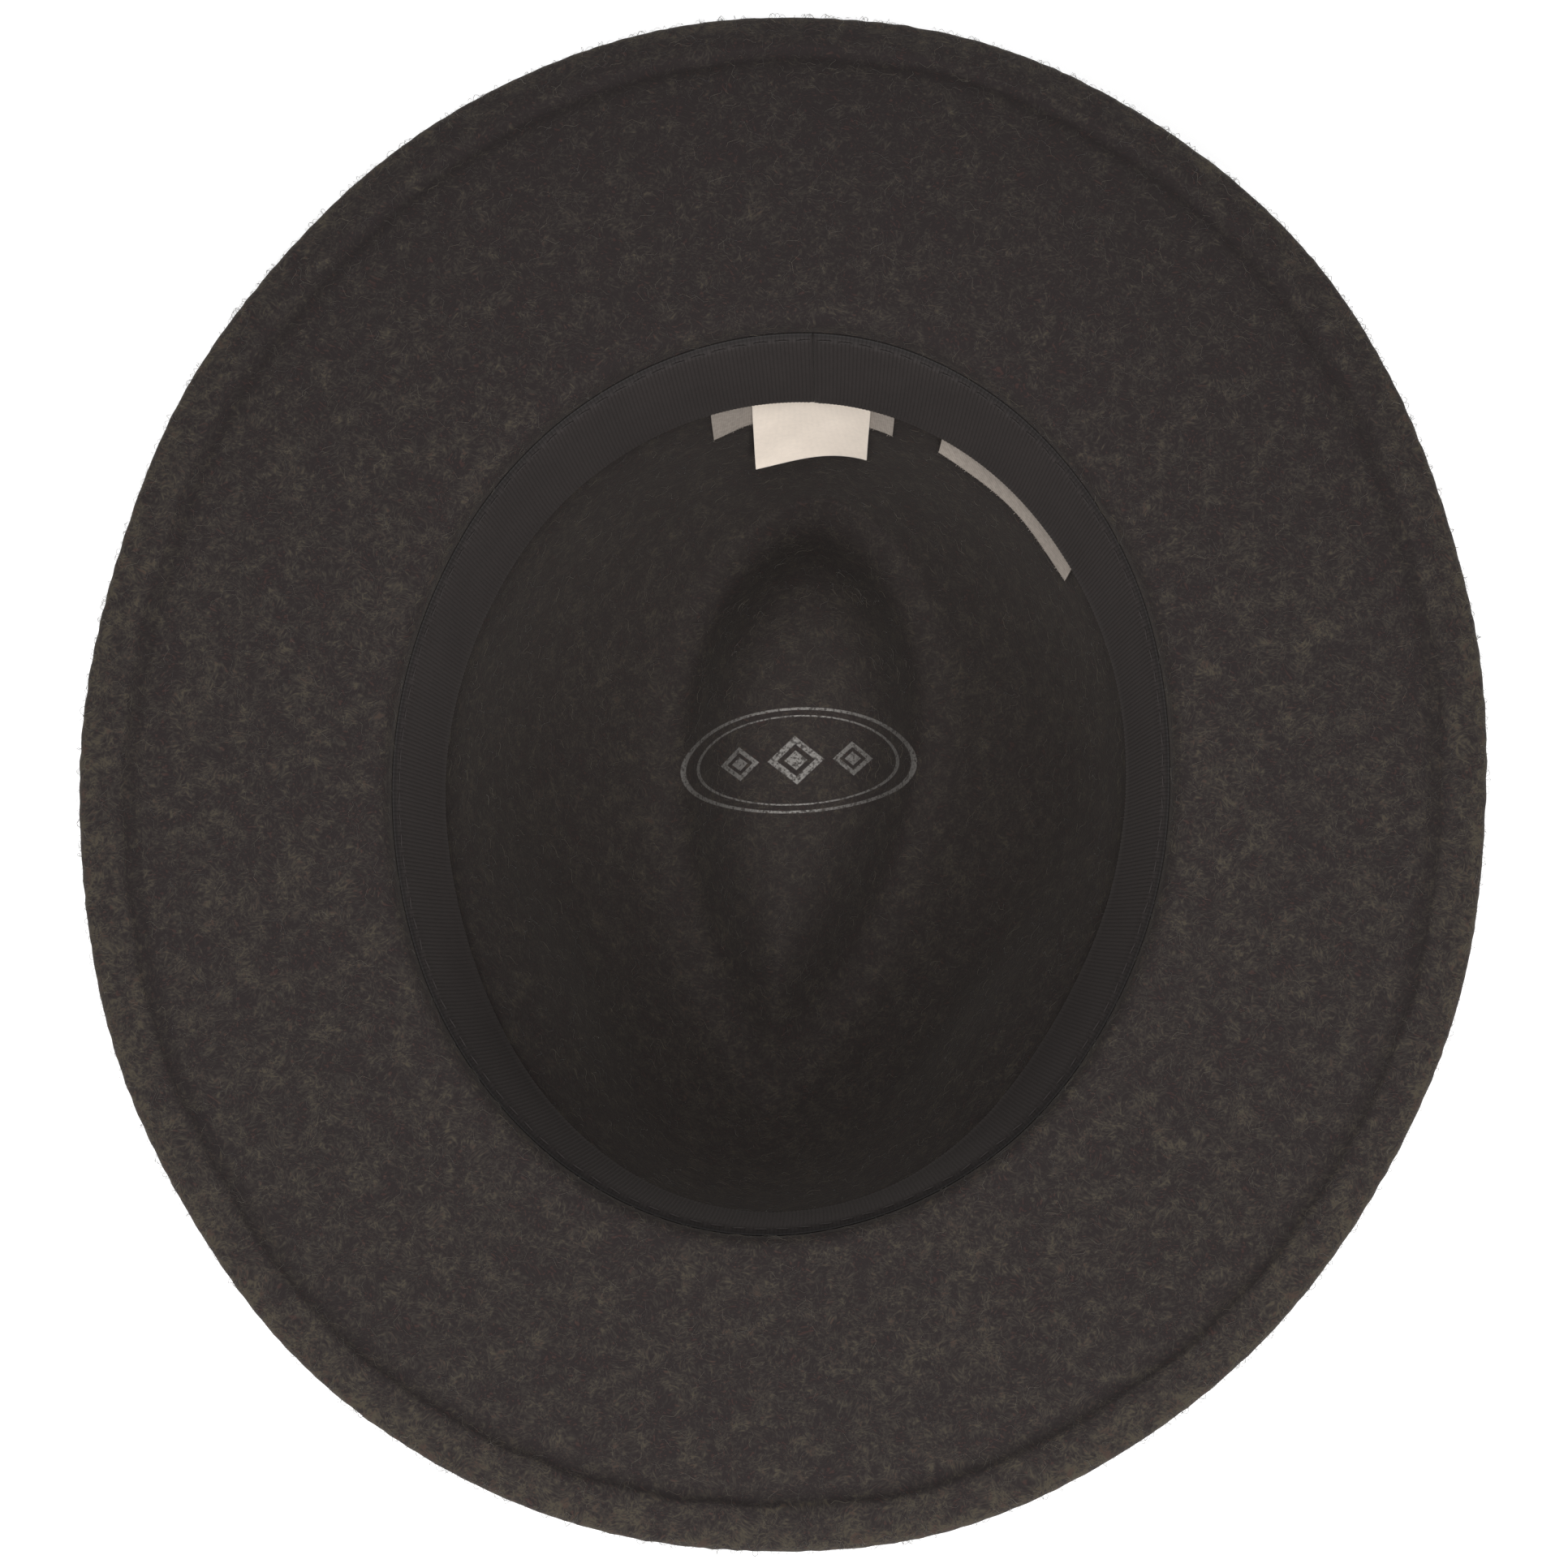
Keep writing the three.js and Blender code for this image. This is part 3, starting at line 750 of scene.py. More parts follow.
def felt_material(form, colours):
    """Charcoal wool felt with its flecks, its foil ornament and a soft bloom of fibre ends, with painted
    shade in the welt's groove and towards the back, and painted fill light in the crown.
    """
    material, nodes, shader = new_material(
        "wool_felt", Sheen_Weight=0.06, Sheen_Roughness=0.5, Sheen_Tint=(0.75, 0.68, 0.62, 1.0),
        Specular_IOR_Level=0.12,
    )
    at = nodes.place()
    wool = nodes.add("ShaderNodeGroup", node_tree=shared_group("heathered_wool", wool_group))
    nodes.link(at, wool.inputs["Vector"])
    for name in WOOL_COLOURS:
        wool.inputs[name].default_value = opaque(getattr(colours, name.lower()))
    mark = ornament(nodes, at, form)
    from_edge = nodes.attribute("from_edge")
    width = form.size.welt_width
    welt = nodes.ramp(from_edge, width * 0.7, width, 0.04, 0.0)
    rubbed = nodes.ramp(from_edge, 0.0, 0.55 * width, 0.10, 0.0)
    # Painted shade and light: fewer flecks towards the back, a few more ahead.
    towards_back = nodes.parts(at)[1]
    painted_back_shade = nodes.ramp(towards_back, *PAINTED_BACK_SHADE)
    nodes.link(nodes.plus(nodes.plus(welt, rubbed), painted_back_shade), wool.inputs["Extra Flecks"])
    # Painted shade in the groove beside the welt: the felt is darkened towards a dimmed dark wool.
    off_groove = nodes.away(from_edge, width * 1.12)
    painted_groove_shade = nodes.ramp(off_groove, 0.0, 0.0026, 0.36, 0.0)
    felt = nodes.blend(painted_groove_shade, wool.outputs["Color"], opaque(colours.dark, 0.6))
    # Painted fill light in the crown: the felt is mixed a quarter of the way towards a brighter olive wool.
    painted_crown_fill = nodes.times(nodes.ramp(from_edge, *CROWN_PAINTED_FILL), inside_mask(nodes))
    felt = nodes.blend(nodes.times(painted_crown_fill, 0.25), felt, opaque(colours.olive, 1.25))
    colour = nodes.blend(mark, felt, opaque(colours.foil))
    nodes.link(colour, shader.inputs["Base Color"])
    nodes.link(nodes.ramp(mark, 0.0, 1.0, 0.93, 0.5), shader.inputs["Roughness"])
    nodes.link(nodes.times(mark, 0.35), shader.inputs["Metallic"])
    nodes.link(nodes.bump(wool.outputs["Height"], 0.4, 0.0004), shader.inputs["Normal"])
    return material


def fibre_material(colours):
    """Loose wool fibres, each of its own tone between dark and beige."""
    material, nodes, shader = new_material("loose_wool", Roughness=0.85, Sheen_Weight=0.15)
    tone = nodes.attribute("tone")
    pale = nodes.blend(nodes.ramp(tone, 0.35, 1.0), opaque(colours.olive), opaque(colours.beige, 1.8))
    colour = nodes.blend(nodes.ramp(tone, 0.0, 0.12, 0.8, 0.0), pale, opaque(colours.rust, 1.2))
    nodes.link(colour, shader.inputs["Base Color"])
    return material


def cloth_material(name, colour, along, across, unevenness, bump_depth, **shader_values):
    """A woven cloth of one colour, whose threads follow its own measure, with painted shade where it is sewn
    in and towards the hat's front.
    """
    material, nodes, shader = new_material(name, **shader_values)
    measure = nodes.attribute("cloth", "Vector")
    weave = nodes.add("ShaderNodeGroup", node_tree=shared_group("woven_cloth", weave_group))
    weave.inputs["Along Pitch"].default_value = along
    weave.inputs["Across Pitch"].default_value = across
    weave.inputs["Unevenness"].default_value = unevenness
    nodes.link(measure, weave.inputs["Vector"])
    blotch_and_edge_shade = nodes.ramp(nodes.noise(measure, 60.0, 2.0), 0.3, 0.7, 0.93, 1.05)
    # Painted shade along the sewn edge: the first 1.6 mm below the cloth's top is darkened.
    from_top = nodes.parts(measure)[1]
    blotch_and_edge_shade = nodes.times(blotch_and_edge_shade, nodes.ramp(from_top, 0.0, 0.0016, 0.5, 1.0))
    shade = nodes.times(weave.outputs["Shade"], blotch_and_edge_shade)
    # Painted shade towards the hat's front.
    towards_back = nodes.parts(nodes.place())[1]
    shade = nodes.times(shade, nodes.ramp(towards_back, *PAINTED_CLOTH_FRONT_SHADE))
    nodes.link(nodes.blend(1.0, opaque(colour), shade, "MULTIPLY"), shader.inputs["Base Color"])
    nodes.link(nodes.bump(weave.outputs["Height"], 0.5, bump_depth), shader.inputs["Normal"])
    return material


def thread_material(name, colour, dark, pale):
    """Sewing or cut thread, mottled between two strengths of one colour."""
    material, nodes, shader = new_material(name, Roughness=0.75, Specular_IOR_Level=0.25)
    tone = nodes.ramp(nodes.noise(nodes.place(), 2500.0), 0.3, 0.7)
    mottled = nodes.blend(tone, opaque(colour, dark), opaque(colour, pale))
    nodes.link(mottled, shader.inputs["Base Color"])
    return material


def linked(context, name, data):
    """A new object at the origin that shows the data."""
    made = bpy.data.objects.new(name, data)
    context.scene.collection.objects.link(made)
    return made


def new_object(context, name, points, faces, material, attributes=None):
    """A smooth mesh object at the origin, with its number attributes on its points."""
    mesh = bpy.data.meshes.new(name)
    mesh.from_pydata([tuple(p) for p in points], [], faces)
    for key, values in (attributes or {}).items():
        values = np.asarray(values, np.float32)
        kind, slot = ("FLOAT", "value") if values.ndim == 1 else ("FLOAT_VECTOR", "vector")
        mesh.attributes.new(key, kind, "POINT").data.foreach_set(slot, values.ravel())
    mesh.polygons.foreach_set("use_smooth", [True] * len(mesh.polygons))
    mesh.materials.append(material)
    mesh.validate()
    return linked(context, name, mesh)


def finish_piece(piece, slot, *nodes):
    """Lets a finished piece ride with the hat and stand for its solids."""
    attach(piece, BODY)
    if nodes:
        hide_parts(*nodes)


def between(first, first_count, second, second_count):
    """Faces between two rings of points, where the second has as many as the first, twice or half."""
    faces = []
    if first_count == second_count:
        for i in range(first_count):
            j = (i + 1) % first_count
            faces.append((first + i, first + j, second + j, second + i))
    elif second_count == 2 * first_count:
        for i in range(first_count):
            j = (i + 1) % first_count
            middle = second + 2 * i + 1
            faces.append((first + i, first + j, middle))
            faces.append((first + j, second + (2 * i + 2) % second_count, middle))
            faces.append((first + i, middle, second + 2 * i))
    else:
        for i in range(second_count):
            j = (i + 1) % second_count
            middle = first + 2 * i + 1
            faces.append((first + 2 * i, middle, second + i))
            faces.append((middle, second + j, second + i))
            faces.append((middle, first + (2 * i + 2) % first_count, second + j))
    return faces


def felt_rings(form):
    """The inner rings from the crown's middle to the welt, each with its steps and the place it is on."""
    size = form.size
    rings = []
    for i in range(DENT_RINGS - 1, 0, -1):
        rings.append((form.dent(i / DENT_RINGS), CROWN_AROUND, IN_CROWN))
    for i in range(WALL_RINGS, 0, -1):
        rings.append((form.wall(i / WALL_RINGS), CROWN_AROUND, IN_CROWN))
    for i in range(BREAK_RINGS + 1):
        turn = size.break_turn * i / BREAK_RINGS
        out = size.break_radius * (1 - math.cos(turn))
        height = form.break_height + size.break_radius * math.sin(turn)
        rings.append((form.oval(0.0, out, height), CROWN_AROUND, UNDER_BRIM))
    top = form.break_height + size.break_radius
    first_out = size.break_radius * (1 - math.cos(size.break_turn))
    for i in range(1, BRIM_RINGS + 1):
        share = i / BRIM_RINGS
        out = mix(first_out, -WELT_ROWS[0].inset * size.welt_width, share)
        rings.append((form.oval(share, out, top), BRIM_AROUND, UNDER_BRIM))
    return rings


def edge_rings(form):
    """The rings of the welt and of the brim's rounded edge, out and round to the outside."""
    size = form.size
    top = form.break_height + size.break_radius
    rings = []
    for i in range(1, WELT_RINGS + 1):
        place = i / WELT_RINGS
        inset = column(WELT_ROWS, "inset", place) * size.welt_width
        rise = column(WELT_ROWS, "rise", place) * size.welt_rise
        groove = max(0.0, column(WELT_ROWS, "groove", place)) * size.groove_depth
        rings.append((form.oval(1.0, -inset, top + rise - groove), EDGE_AROUND, UNDER_BRIM))
    radius = (size.felt + size.welt_rise) / 2
    for i in range(1, EDGE_RINGS):
        turn = math.pi * (0.5 - i / EDGE_RINGS)
        inset = radius * (1 - math.cos(turn))
        height = top + size.welt_rise - radius + radius * math.sin(turn)
        rings.append((form.oval(1.0, -inset, height), EDGE_AROUND, ON_EDGE))
    return rings


def outer_rings(form, inner):
    """The same rings one felt thickness away, back from the brim's edge to the crown's middle."""
    outer = []
    for i, (ring, around, _) in enumerate(inner):
        before = inner[max(i - 1, 0)][0]
        after = inner[min(i + 1, len(inner) - 1)][0]
        run = Vector((after.half_width - before.half_width, after.z - before.z)).normalized()
        moved = form.grown(ring, form.size.felt * run.y)._replace(z=ring.z - form.size.felt * run.x)
        kept = i % 2 == 0 or i == len(inner) - 1 or abs(ring.z - form.valley) < form.size.felt
        if kept:
            outer.append((moved, around, OUTSIDE))
    return outer[::-1]


def softened(form, inner):
    """The inner rings, with the ridge rounded as thick felt takes it."""
    reach = form.size.valley_rounding
    rings = [ring for ring, _, _ in inner]
    heights = np.array([ring.z for ring in rings])
    steps = [math.hypot(b.half_width - a.half_width, b.z - a.z) for a, b in zip(rings, rings[1:])]
    along = run_along(steps)
    share = np.gradient(along)
    lowest = along[DENT_RINGS - 1]
    made = []
    for (ring, around, zone), at in zip(inner, along):
        weights = share * np.exp(-(((along - at) / reach) ** 2))
        rounded = float((weights * heights).sum() / weights.sum())
        near = math.exp(-(((at - lowest) / (4 * reach)) ** 2))
        made.append((ring._replace(z=mix(ring.z, rounded, near)), around, zone))
    return made


def waved_edge(form, points, inset):
    """The brim's edge with the soft waves and the finer unevenness that cut and folded felt has."""
    size = form.size
    if inset > 2 * size.welt_width:
        return points
    fade = np.clip(1 - inset / (0.6 * size.welt_width), 0, 1)
    steps = steps_along(points, closed=True)
    run = run_along(steps)[:-1]
    waves = round(steps.sum() / size.scallop_pitch)
    phase = 2 * math.pi * waves * run / steps.sum()
    drift = noise_at(points, DRIFT_REACH)
    fine = noise_at(points, GRAIN_REACH)
    out = size.scallop * (np.sin(phase + 5 * drift) * (0.55 + 1.3 * drift) + 1.6 * fine)
    outward = points * (1, 1, 0)
    outward /= np.linalg.norm(outward, axis=1)[:, None]
    folded = np.exp(-(((inset - size.welt_width) / (0.3 * size.welt_width)) ** 2))
    uneven = noise_at(points, FOLD_REACH) * FOLD_DEPTH
    return points + outward * (out * fade + uneven * folded)[:, None]


class HAT_OT_make_felt(bpy.types.Operator):
    """Make the crown and brim, one body of felt with its dents, pinches and folded edge"""

    bl_idname = "hat.make_felt"
    bl_label = "Make felt body"

    def execute(self, context):
        form = Form(context.scene.hat_sizes)
        inner = felt_rings(form)
        rings = softened(form, inner) + edge_rings(form) + outer_rings(form, inner)
        half = FELT_HIGH[0]
        middle = [0.0, form.size.ridge_widest + form.forward, form.valley + form.size.dent_depth]
        points = [np.array([middle])]
        inside, from_edge, zones, faces = [], [], [], []
        starts = [1]
        for ring, around, zone in rings:
            inset = half - ring.half_width
            angles = np.arange(around) * 2 * math.pi / around
            placed = waved_edge(form, form.swayed(form.points(ring, angles)), inset)
            if zone == OUTSIDE:
                placed[:, 2] = np.maximum(placed[:, 2], 0.0)
            points.append(placed)
            inside += [float(zone != OUTSIDE)] * around
            from_edge += [inset] * around
            resting = zone == OUTSIDE and ring.z < 3 * form.size.felt
            zones += [-1.0 if resting else float(zone)] * around
            starts.append(starts[-1] + around)
        points.append(np.array([middle]) - (0, 0, form.size.felt))
        last = starts[-1]
        counts = [around for _, around, _ in rings]
        for i in range(counts[0]):
            faces.append((0, starts[0] + (i + 1) % counts[0], starts[0] + i))
            faces.append((last, starts[-2] + i, starts[-2] + (i + 1) % counts[-1]))
        for i in range(len(rings) - 1):
            faces += between(starts[i], counts[i], starts[i + 1], counts[i + 1])
        piece = new_object(
            context, "felt_body", np.concatenate(points), faces,
            felt_material(form, context.scene.hat_colours),
            {"inside": [1.0, *inside, 0.0], "from_edge": [half, *from_edge, half],
             "zone": [float(IN_CROWN), *zones, float(OUTSIDE)]},
        )
        finish_piece(piece, "wool_felt", "felt_crown_and_brim")
        return {"FINISHED"}


def new_geometry_tree(name, inputs):
    """A Geometry Nodes tree that takes a geometry, some named numbers and a material."""
    sockets = [("Geometry", "Geometry", None), *inputs, ("Material", "Material", None)]
    return new_group(name, sockets, [("Geometry", "Geometry")], "GeometryNodeTree")


def finished_tree(nodes, given, result, geometry):
    """Ends a Geometry Nodes tree with real geometry in its material, and gives the tree."""
    real = nodes.made("GeometryNodeRealizeInstances", {"Geometry": geometry})
    shown = nodes.made("GeometryNodeSetMaterial", {"Geometry": real, "Material": given["Material"]})
    nodes.link(shown, result.inputs[0])
    return nodes.tree


def made_by_nodes(context, source, tree, values, name):
    """A plain mesh object with what a tree makes of a source object and its named values."""
    modifier = source.modifiers.new(name, "NODES")
    modifier.node_group = tree
    identifiers = {
        item.name: item.identifier for item in tree.interface.items_tree
        if item.item_type == "SOCKET" and item.in_out == "INPUT"
    }
    for key, value in values.items():
        modifier[identifiers[key]] = value
    depsgraph = context.evaluated_depsgraph_get()
    evaluated = source.evaluated_get(depsgraph)
    mesh = bpy.data.meshes.new_from_object(evaluated, preserve_all_data_layers=True, depsgraph=depsgraph)
    source.modifiers.remove(modifier)
    mesh.name = name
    mesh.polygons.foreach_set("use_smooth", [True] * len(mesh.polygons))
    return linked(context, name, mesh)


def thread_mesh(nodes, given, bend, lift):
    """A thin closed thread along X that bows up and snakes sideways, thinner at its ends."""
    length, thickness = given["Length"], given["Thickness"]
    sunk = nodes.times(thickness, -0.8)
    ends = {
        "Start": nodes.combined(nodes.times(length, -0.5), 0.0, sunk),
        "Start Handle": nodes.combined(nodes.times(length, -0.2), bend, lift),
        "End Handle": nodes.combined(nodes.times(length, 0.2), nodes.times(bend, -1.0), lift),
        "End": nodes.combined(nodes.times(length, 0.5), 0.0, sunk),
    }
    line = nodes.made("GeometryNodeCurvePrimitiveBezierSegment", {"Resolution": 16, **ends})
    line = nodes.made("GeometryNodeResampleCurve", {"Curve": line, "Count": THREAD_STEPS + 1}, mode="COUNT")
    share = nodes.add("GeometryNodeSplineParameter").outputs["Factor"]
    radius = nodes.ramp(nodes.away(share, 0.5), 0.2, 0.5, 1.0, 0.35)
    line = nodes.made("GeometryNodeSetCurveRadius", {"Curve": line, "Radius": radius})
    round_it = {"Resolution": 3, "Radius": nodes.times(thickness, 0.5)}
    section = nodes.made("GeometryNodeCurvePrimitiveCircle", round_it)
    tube = {"Curve": line, "Profile Curve": section, "Fill Caps": True}
    return nodes.made("GeometryNodeCurveToMesh", tube)


def random_number(nodes, low, high, seed):
    """A number between two limits that differs from point to point."""
    limits = {2: low, 3: high, "Seed": seed}
    return nodes.add("FunctionNodeRandomValue", limits, data_type="FLOAT").outputs[1]


def even_steps(nodes, given):
    """Points at even steps along a path, a pitch apart."""
    line = nodes.made("GeometryNodeMeshToCurve", {"Mesh": given["Geometry"]})
    return nodes.made("GeometryNodeResampleCurve", {"Curve": line, "Length": given["Pitch"]}, mode="LENGTH")


def copies(nodes, points, shape, rotation, scale, turn):
    """Copies of a shape on points, each turned once more on its own."""
    inputs = {"Points": points, "Instance": shape, "Rotation": rotation, "Scale": scale}
    placed = nodes.made("GeometryNodeInstanceOnPoints", inputs)
    return nodes.made("GeometryNodeRotateInstances", {"Instances": placed, "Rotation": turn})


def named_attribute(nodes, name, kind):
    """A named attribute of the mesh, in a Geometry Nodes tree."""
    return nodes.made("GeometryNodeInputNamedAttribute", {"Name": name}, data_type=kind)


def fibre_tree():
    """Loose fibres scattered over one zone of the felt, lying flat with their ends sunk in."""
    nodes, given, result = new_geometry_tree(
        "loose_fibres",
        [
            ("Zone", "Float", 0.0), ("Density", "Float", 10000.0), ("Length", "Float", 0.0034),
            ("Lift", "Float", 0.00035), ("Thickness", "Float", 0.000045), ("Seed", "Int", 1),
        ],
    )
    off = nodes.away(named_attribute(nodes, "zone", "FLOAT"), given["Zone"])
    chosen = nodes.math("LESS_THAN", off, 0.25)
    spread = nodes.add(
        "GeometryNodeDistributePointsOnFaces",
        {"Mesh": given["Geometry"], "Selection": chosen, "Density": given["Density"], "Seed": given["Seed"]},
    )
    thread = thread_mesh(nodes, given, nodes.times(given["Length"], 0.45), given["Lift"])
    size = random_number(nodes, 0.45, 1.25, 3)
    scale = nodes.combined(size, size, random_number(nodes, 0.3, 1.6, 4))
    turn = nodes.combined(z=random_number(nodes, 0.0, 2 * math.pi, 5))
    turned = copies(nodes, spread.outputs["Points"], thread, spread.outputs["Rotation"], scale, turn)
    toned = nodes.made(
        "GeometryNodeStoreNamedAttribute",
        {"Geometry": turned, "Name": "tone", "Value": random_number(nodes, 0.0, 1.0, 6)},
        data_type="FLOAT", domain="INSTANCE",
    )
    return finished_tree(nodes, given, result, toned)


class HAT_OT_make_fibres(bpy.types.Operator):
    """Scatter loose wool fibres under the brim, in the crown, outside and on the edge"""

    bl_idname = "hat.make_fibres"
    bl_label = "Make loose fibres"

    def execute(self, context):
        felt = bpy.data.objects.get("felt_body")
        if felt is None:
            raise RuntimeError("make the felt body before its fibres")
        sizes = context.scene.hat_fibres
        material = fibre_material(context.scene.hat_colours)
        tree = fibre_tree()
        areas = zone_areas(felt.data)
        for fibres in FIBRE_SETS:
            values = {
                "Zone": float(fibres.zone),
                "Density": sizes.count / areas[fibres.zone],
                "Length": sizes.length * fibres.length,
                "Lift": sizes.lift * fibres.lift,
                "Thickness": sizes.thickness * fibres.thickness,
                "Seed": fibres.seed,
                "Material": material,
            }
            finish_piece(made_by_nodes(context, felt, tree, values, fibres.name), "wool_felt")
        return {"FINISHED"}


def zone_areas(mesh):
    """The area of each zone of the felt."""
    areas = np.empty(len(mesh.polygons))
    mesh.polygons.foreach_get("area", areas)
    first = np.array([polygon.vertices[0] for polygon in mesh.polygons])
    zones = np.empty(len(mesh.vertices), np.float32)
    mesh.attributes["zone"].data.foreach_get("value", zones)
    return {each.zone: float(areas[zones[first] == each.zone].sum()) for each in FIBRE_SETS}


def band_gap(ribbon, labels, drop):
    """How far the ribbon's outer face stands off the wall, which leaves room for two labels behind it."""
    stack = 2 * labels.label + 3 * labels.gap
    return mix(ribbon.sewn_gap, stack, (drop - ribbon.sewn_drop) / (ribbon.height - labels.tuck))


def cloth_strip(context, name, inner, outer, measures, material, masks=None):
    """A closed strip of cloth through rows of points on its inner and outer faces."""
    rows, columns = len(inner), len(inner[0])
    sections = [*inner, *outer[::-1]]
    size = len(sections)
    points = np.concatenate(sections)
    faces = []
    for r in range(size):
        after = (r + 1) % size
        for c in range(columns - 1):
            here, there = r * columns + c, after * columns + c
            faces.append((here, there, there + 1, here + 1))
    for c in (0, columns - 1):
        for r in range(rows - 1):
            corner = [r, r + 1, size - 2 - r, size - 1 - r]
            face = tuple(k * columns + c for k in corner)
            faces.append(face[::-1] if c == 0 else face)
    attributes = {"cloth": np.concatenate([*measures, *measures[::-1]])}
    if masks is not None:
        attributes["ribbed"] = np.concatenate([*masks, *[mask * 0 for mask in masks]])
    return new_object(context, name, points, faces, material, attributes)


def rib_tree():
    """Raises a ribbon's ribs along its own measure, where its mask lets it."""
    sockets = [("Pitch", "Float", 0.0009), ("Height", "Float", 0.00022)]
    nodes, given, result = new_geometry_tree("raised_ribs", sockets)
    mask = named_attribute(nodes, "ribbed", "FLOAT")
    run = nodes.parts(named_attribute(nodes, "cloth", "FLOAT_VECTOR"))[0]
    turns = nodes.times(nodes.math("DIVIDE", run, given["Pitch"]), math.pi)
    rise = nodes.math("POWER", nodes.math("ABSOLUTE", nodes.math("SINE", turns)), 0.7)
    rise = nodes.times(nodes.times(rise, mask), given["Height"])
    offset = nodes.scaled(nodes.made("GeometryNodeInputNormal"), rise)
    moved = nodes.made("GeometryNodeSetPosition", {"Geometry": given["Geometry"], "Offset": offset})
    return finished_tree(nodes, given, result, moved)


class HAT_OT_make_sweatband(bpy.types.Operator):
    """Make the ribbed ribbon sweatband, open at its seam near the back"""

    bl_idname = "hat.make_sweatband"
    bl_label = "Make sweatband"

    def execute(self, context):
        form = Form(context.scene.hat_sizes)
        ribbon, labels = context.scene.hat_ribbon, context.scene.hat_labels
        seam = ribbon.seam_run / (form.size.head_width / 2)
        slit = ribbon.seam_gap / form.size.head_width
        fine = np.linspace(seam + slit, seam + 2 * math.pi - slit, SEAM_SAMPLES)
        run = run_along(steps_along(form.off_wall(fine, ribbon.sewn_drop, 0.0)))
        columns = RIB_STEPS * round(run[-1] / ribbon.rib_pitch) + 1
        runs = np.linspace(0, run[-1], columns)
        angles = np.interp(runs, run, fine)
        selvage, height = ribbon.selvage, ribbon.height
        drops = [
            0.0, RIBBON_LIP, selvage * 0.5, selvage, selvage * 1.2, *np.linspace(*INNER_ROWS) * height,
            height - selvage, height - 0.5 * selvage, height - RIBBON_LIP, height,
        ]
        end_fade = np.clip(np.minimum(runs, run[-1] - runs) / END_REACH, 0, 1)
        inner, outer, measures, masks = [], [], [], []
        for drop in drops:
            below = ribbon.sewn_drop + drop
            gap = band_gap(ribbon, labels, below)
            gap -= 0.75 * ribbon.sewn_gap * math.exp(-((drop / SEWN_REACH) ** 2))
            inward = min(drop, height - drop)
            full = min(1.0, inward / (0.9 * selvage))
            thick = mix(ribbon.edge_thickness, ribbon.ribbon, full * full * (3 - 2 * full))
            ends = 0.8 * ribbon.ribbon * (1 - end_fade) ** 2 * full
            back = form.off_wall(angles, below, gap)
            front = form.off_wall(angles, below, gap + thick)
            front += (back - front) * (ends / thick)[:, None]
            inner.append(form.swayed(front))
            outer.append(form.swayed(back))
            measures.append(np.stack([runs, np.full(columns, drop), np.zeros(columns)], axis=1))
            masks.append(end_fade * float(np.clip((inward - 0.5 * selvage) / (0.7 * selvage), 0.12, 1)))
        self.crease(inner, outer, runs, drops, run[-1])
        material = cloth_material(
            "ribbed_ribbon", context.scene.hat_colours.ribbon, ribbon.rib_pitch, 0.00035, 0.35, 0.00012,
            Roughness=0.66, Sheen_Weight=0.05, Sheen_Roughness=0.4, Sheen_Tint=(0.8, 0.72, 0.68, 1.0),
            Specular_IOR_Level=0.22,
        )
        plain = cloth_strip(context, "plain_ribbon", inner, outer, measures, material, masks)
        values = {"Pitch": ribbon.rib_pitch, "Height": ribbon.rib_height, "Material": material}
        piece = made_by_nodes(context, plain, rib_tree(), values, "sweatband")
        bpy.data.objects.remove(plain)
        finish_piece(piece, "ribbon", "ribbon_sweatband")
        return {"FINISHED"}

    def crease(self, inner, outer, runs, drops, whole):
        """Presses the small crease beside the seam and lets the free edge step at the seam."""
        across = np.exp(-(((runs - (whole - CREASE_RUN)) / CREASE_WIDTH) ** 2))
        for rows, share in ((inner, 1.0), (outer, 0.5)):
            for row, drop in zip(rows, drops):
                down = math.exp(-(((drop - CREASE_DROP) / CREASE_HEIGHT) ** 2))
                row[:, 1] += across * down * CREASE_DEPTH * share
                row[:, 2] -= SEAM_STEP * (drop / drops[-1]) * np.exp(-runs / SEAM_STEP_REACH)


def stitch_tree():
    """Stitches at even steps along a line, each a small sunk bead of thread."""
    sockets = [("Pitch", "Float", 0.0046), ("Stitch Length", "Float", 0.0034), ("Thread", "Float", 0.00032)]
    nodes, given, result = new_geometry_tree("edge_stitches", sockets)
    tangent = nodes.made("GeometryNodeInputTangent")
    facing = nodes.made("FunctionNodeAlignRotationToVector", {"Vector": tangent}, axis="X")
    bead = nodes.made("GeometryNodeMeshUVSphere", {"Segments": 8, "Rings": 5, "Radius": 0.5})
    scale = nodes.combined(given["Stitch Length"], given["Thread"], given["Thread"])
    tilt = nodes.combined(z=random_number(nodes, -0.12, 0.12, 21))
    turned = copies(nodes, even_steps(nodes, given), bead, facing, scale, tilt)
    return finished_tree(nodes, given, result, turned)


def line_object(context, name, points, closed):
    """A mesh of edges alone, as a path for a tree to follow."""
    mesh = bpy.data.meshes.new(name)
    count = len(points)
    edges = [(i, (i + 1) % count) for i in range(count if closed else count - 1)]
    mesh.from_pydata([tuple(p) for p in points], edges, [])
    return linked(context, name, mesh)


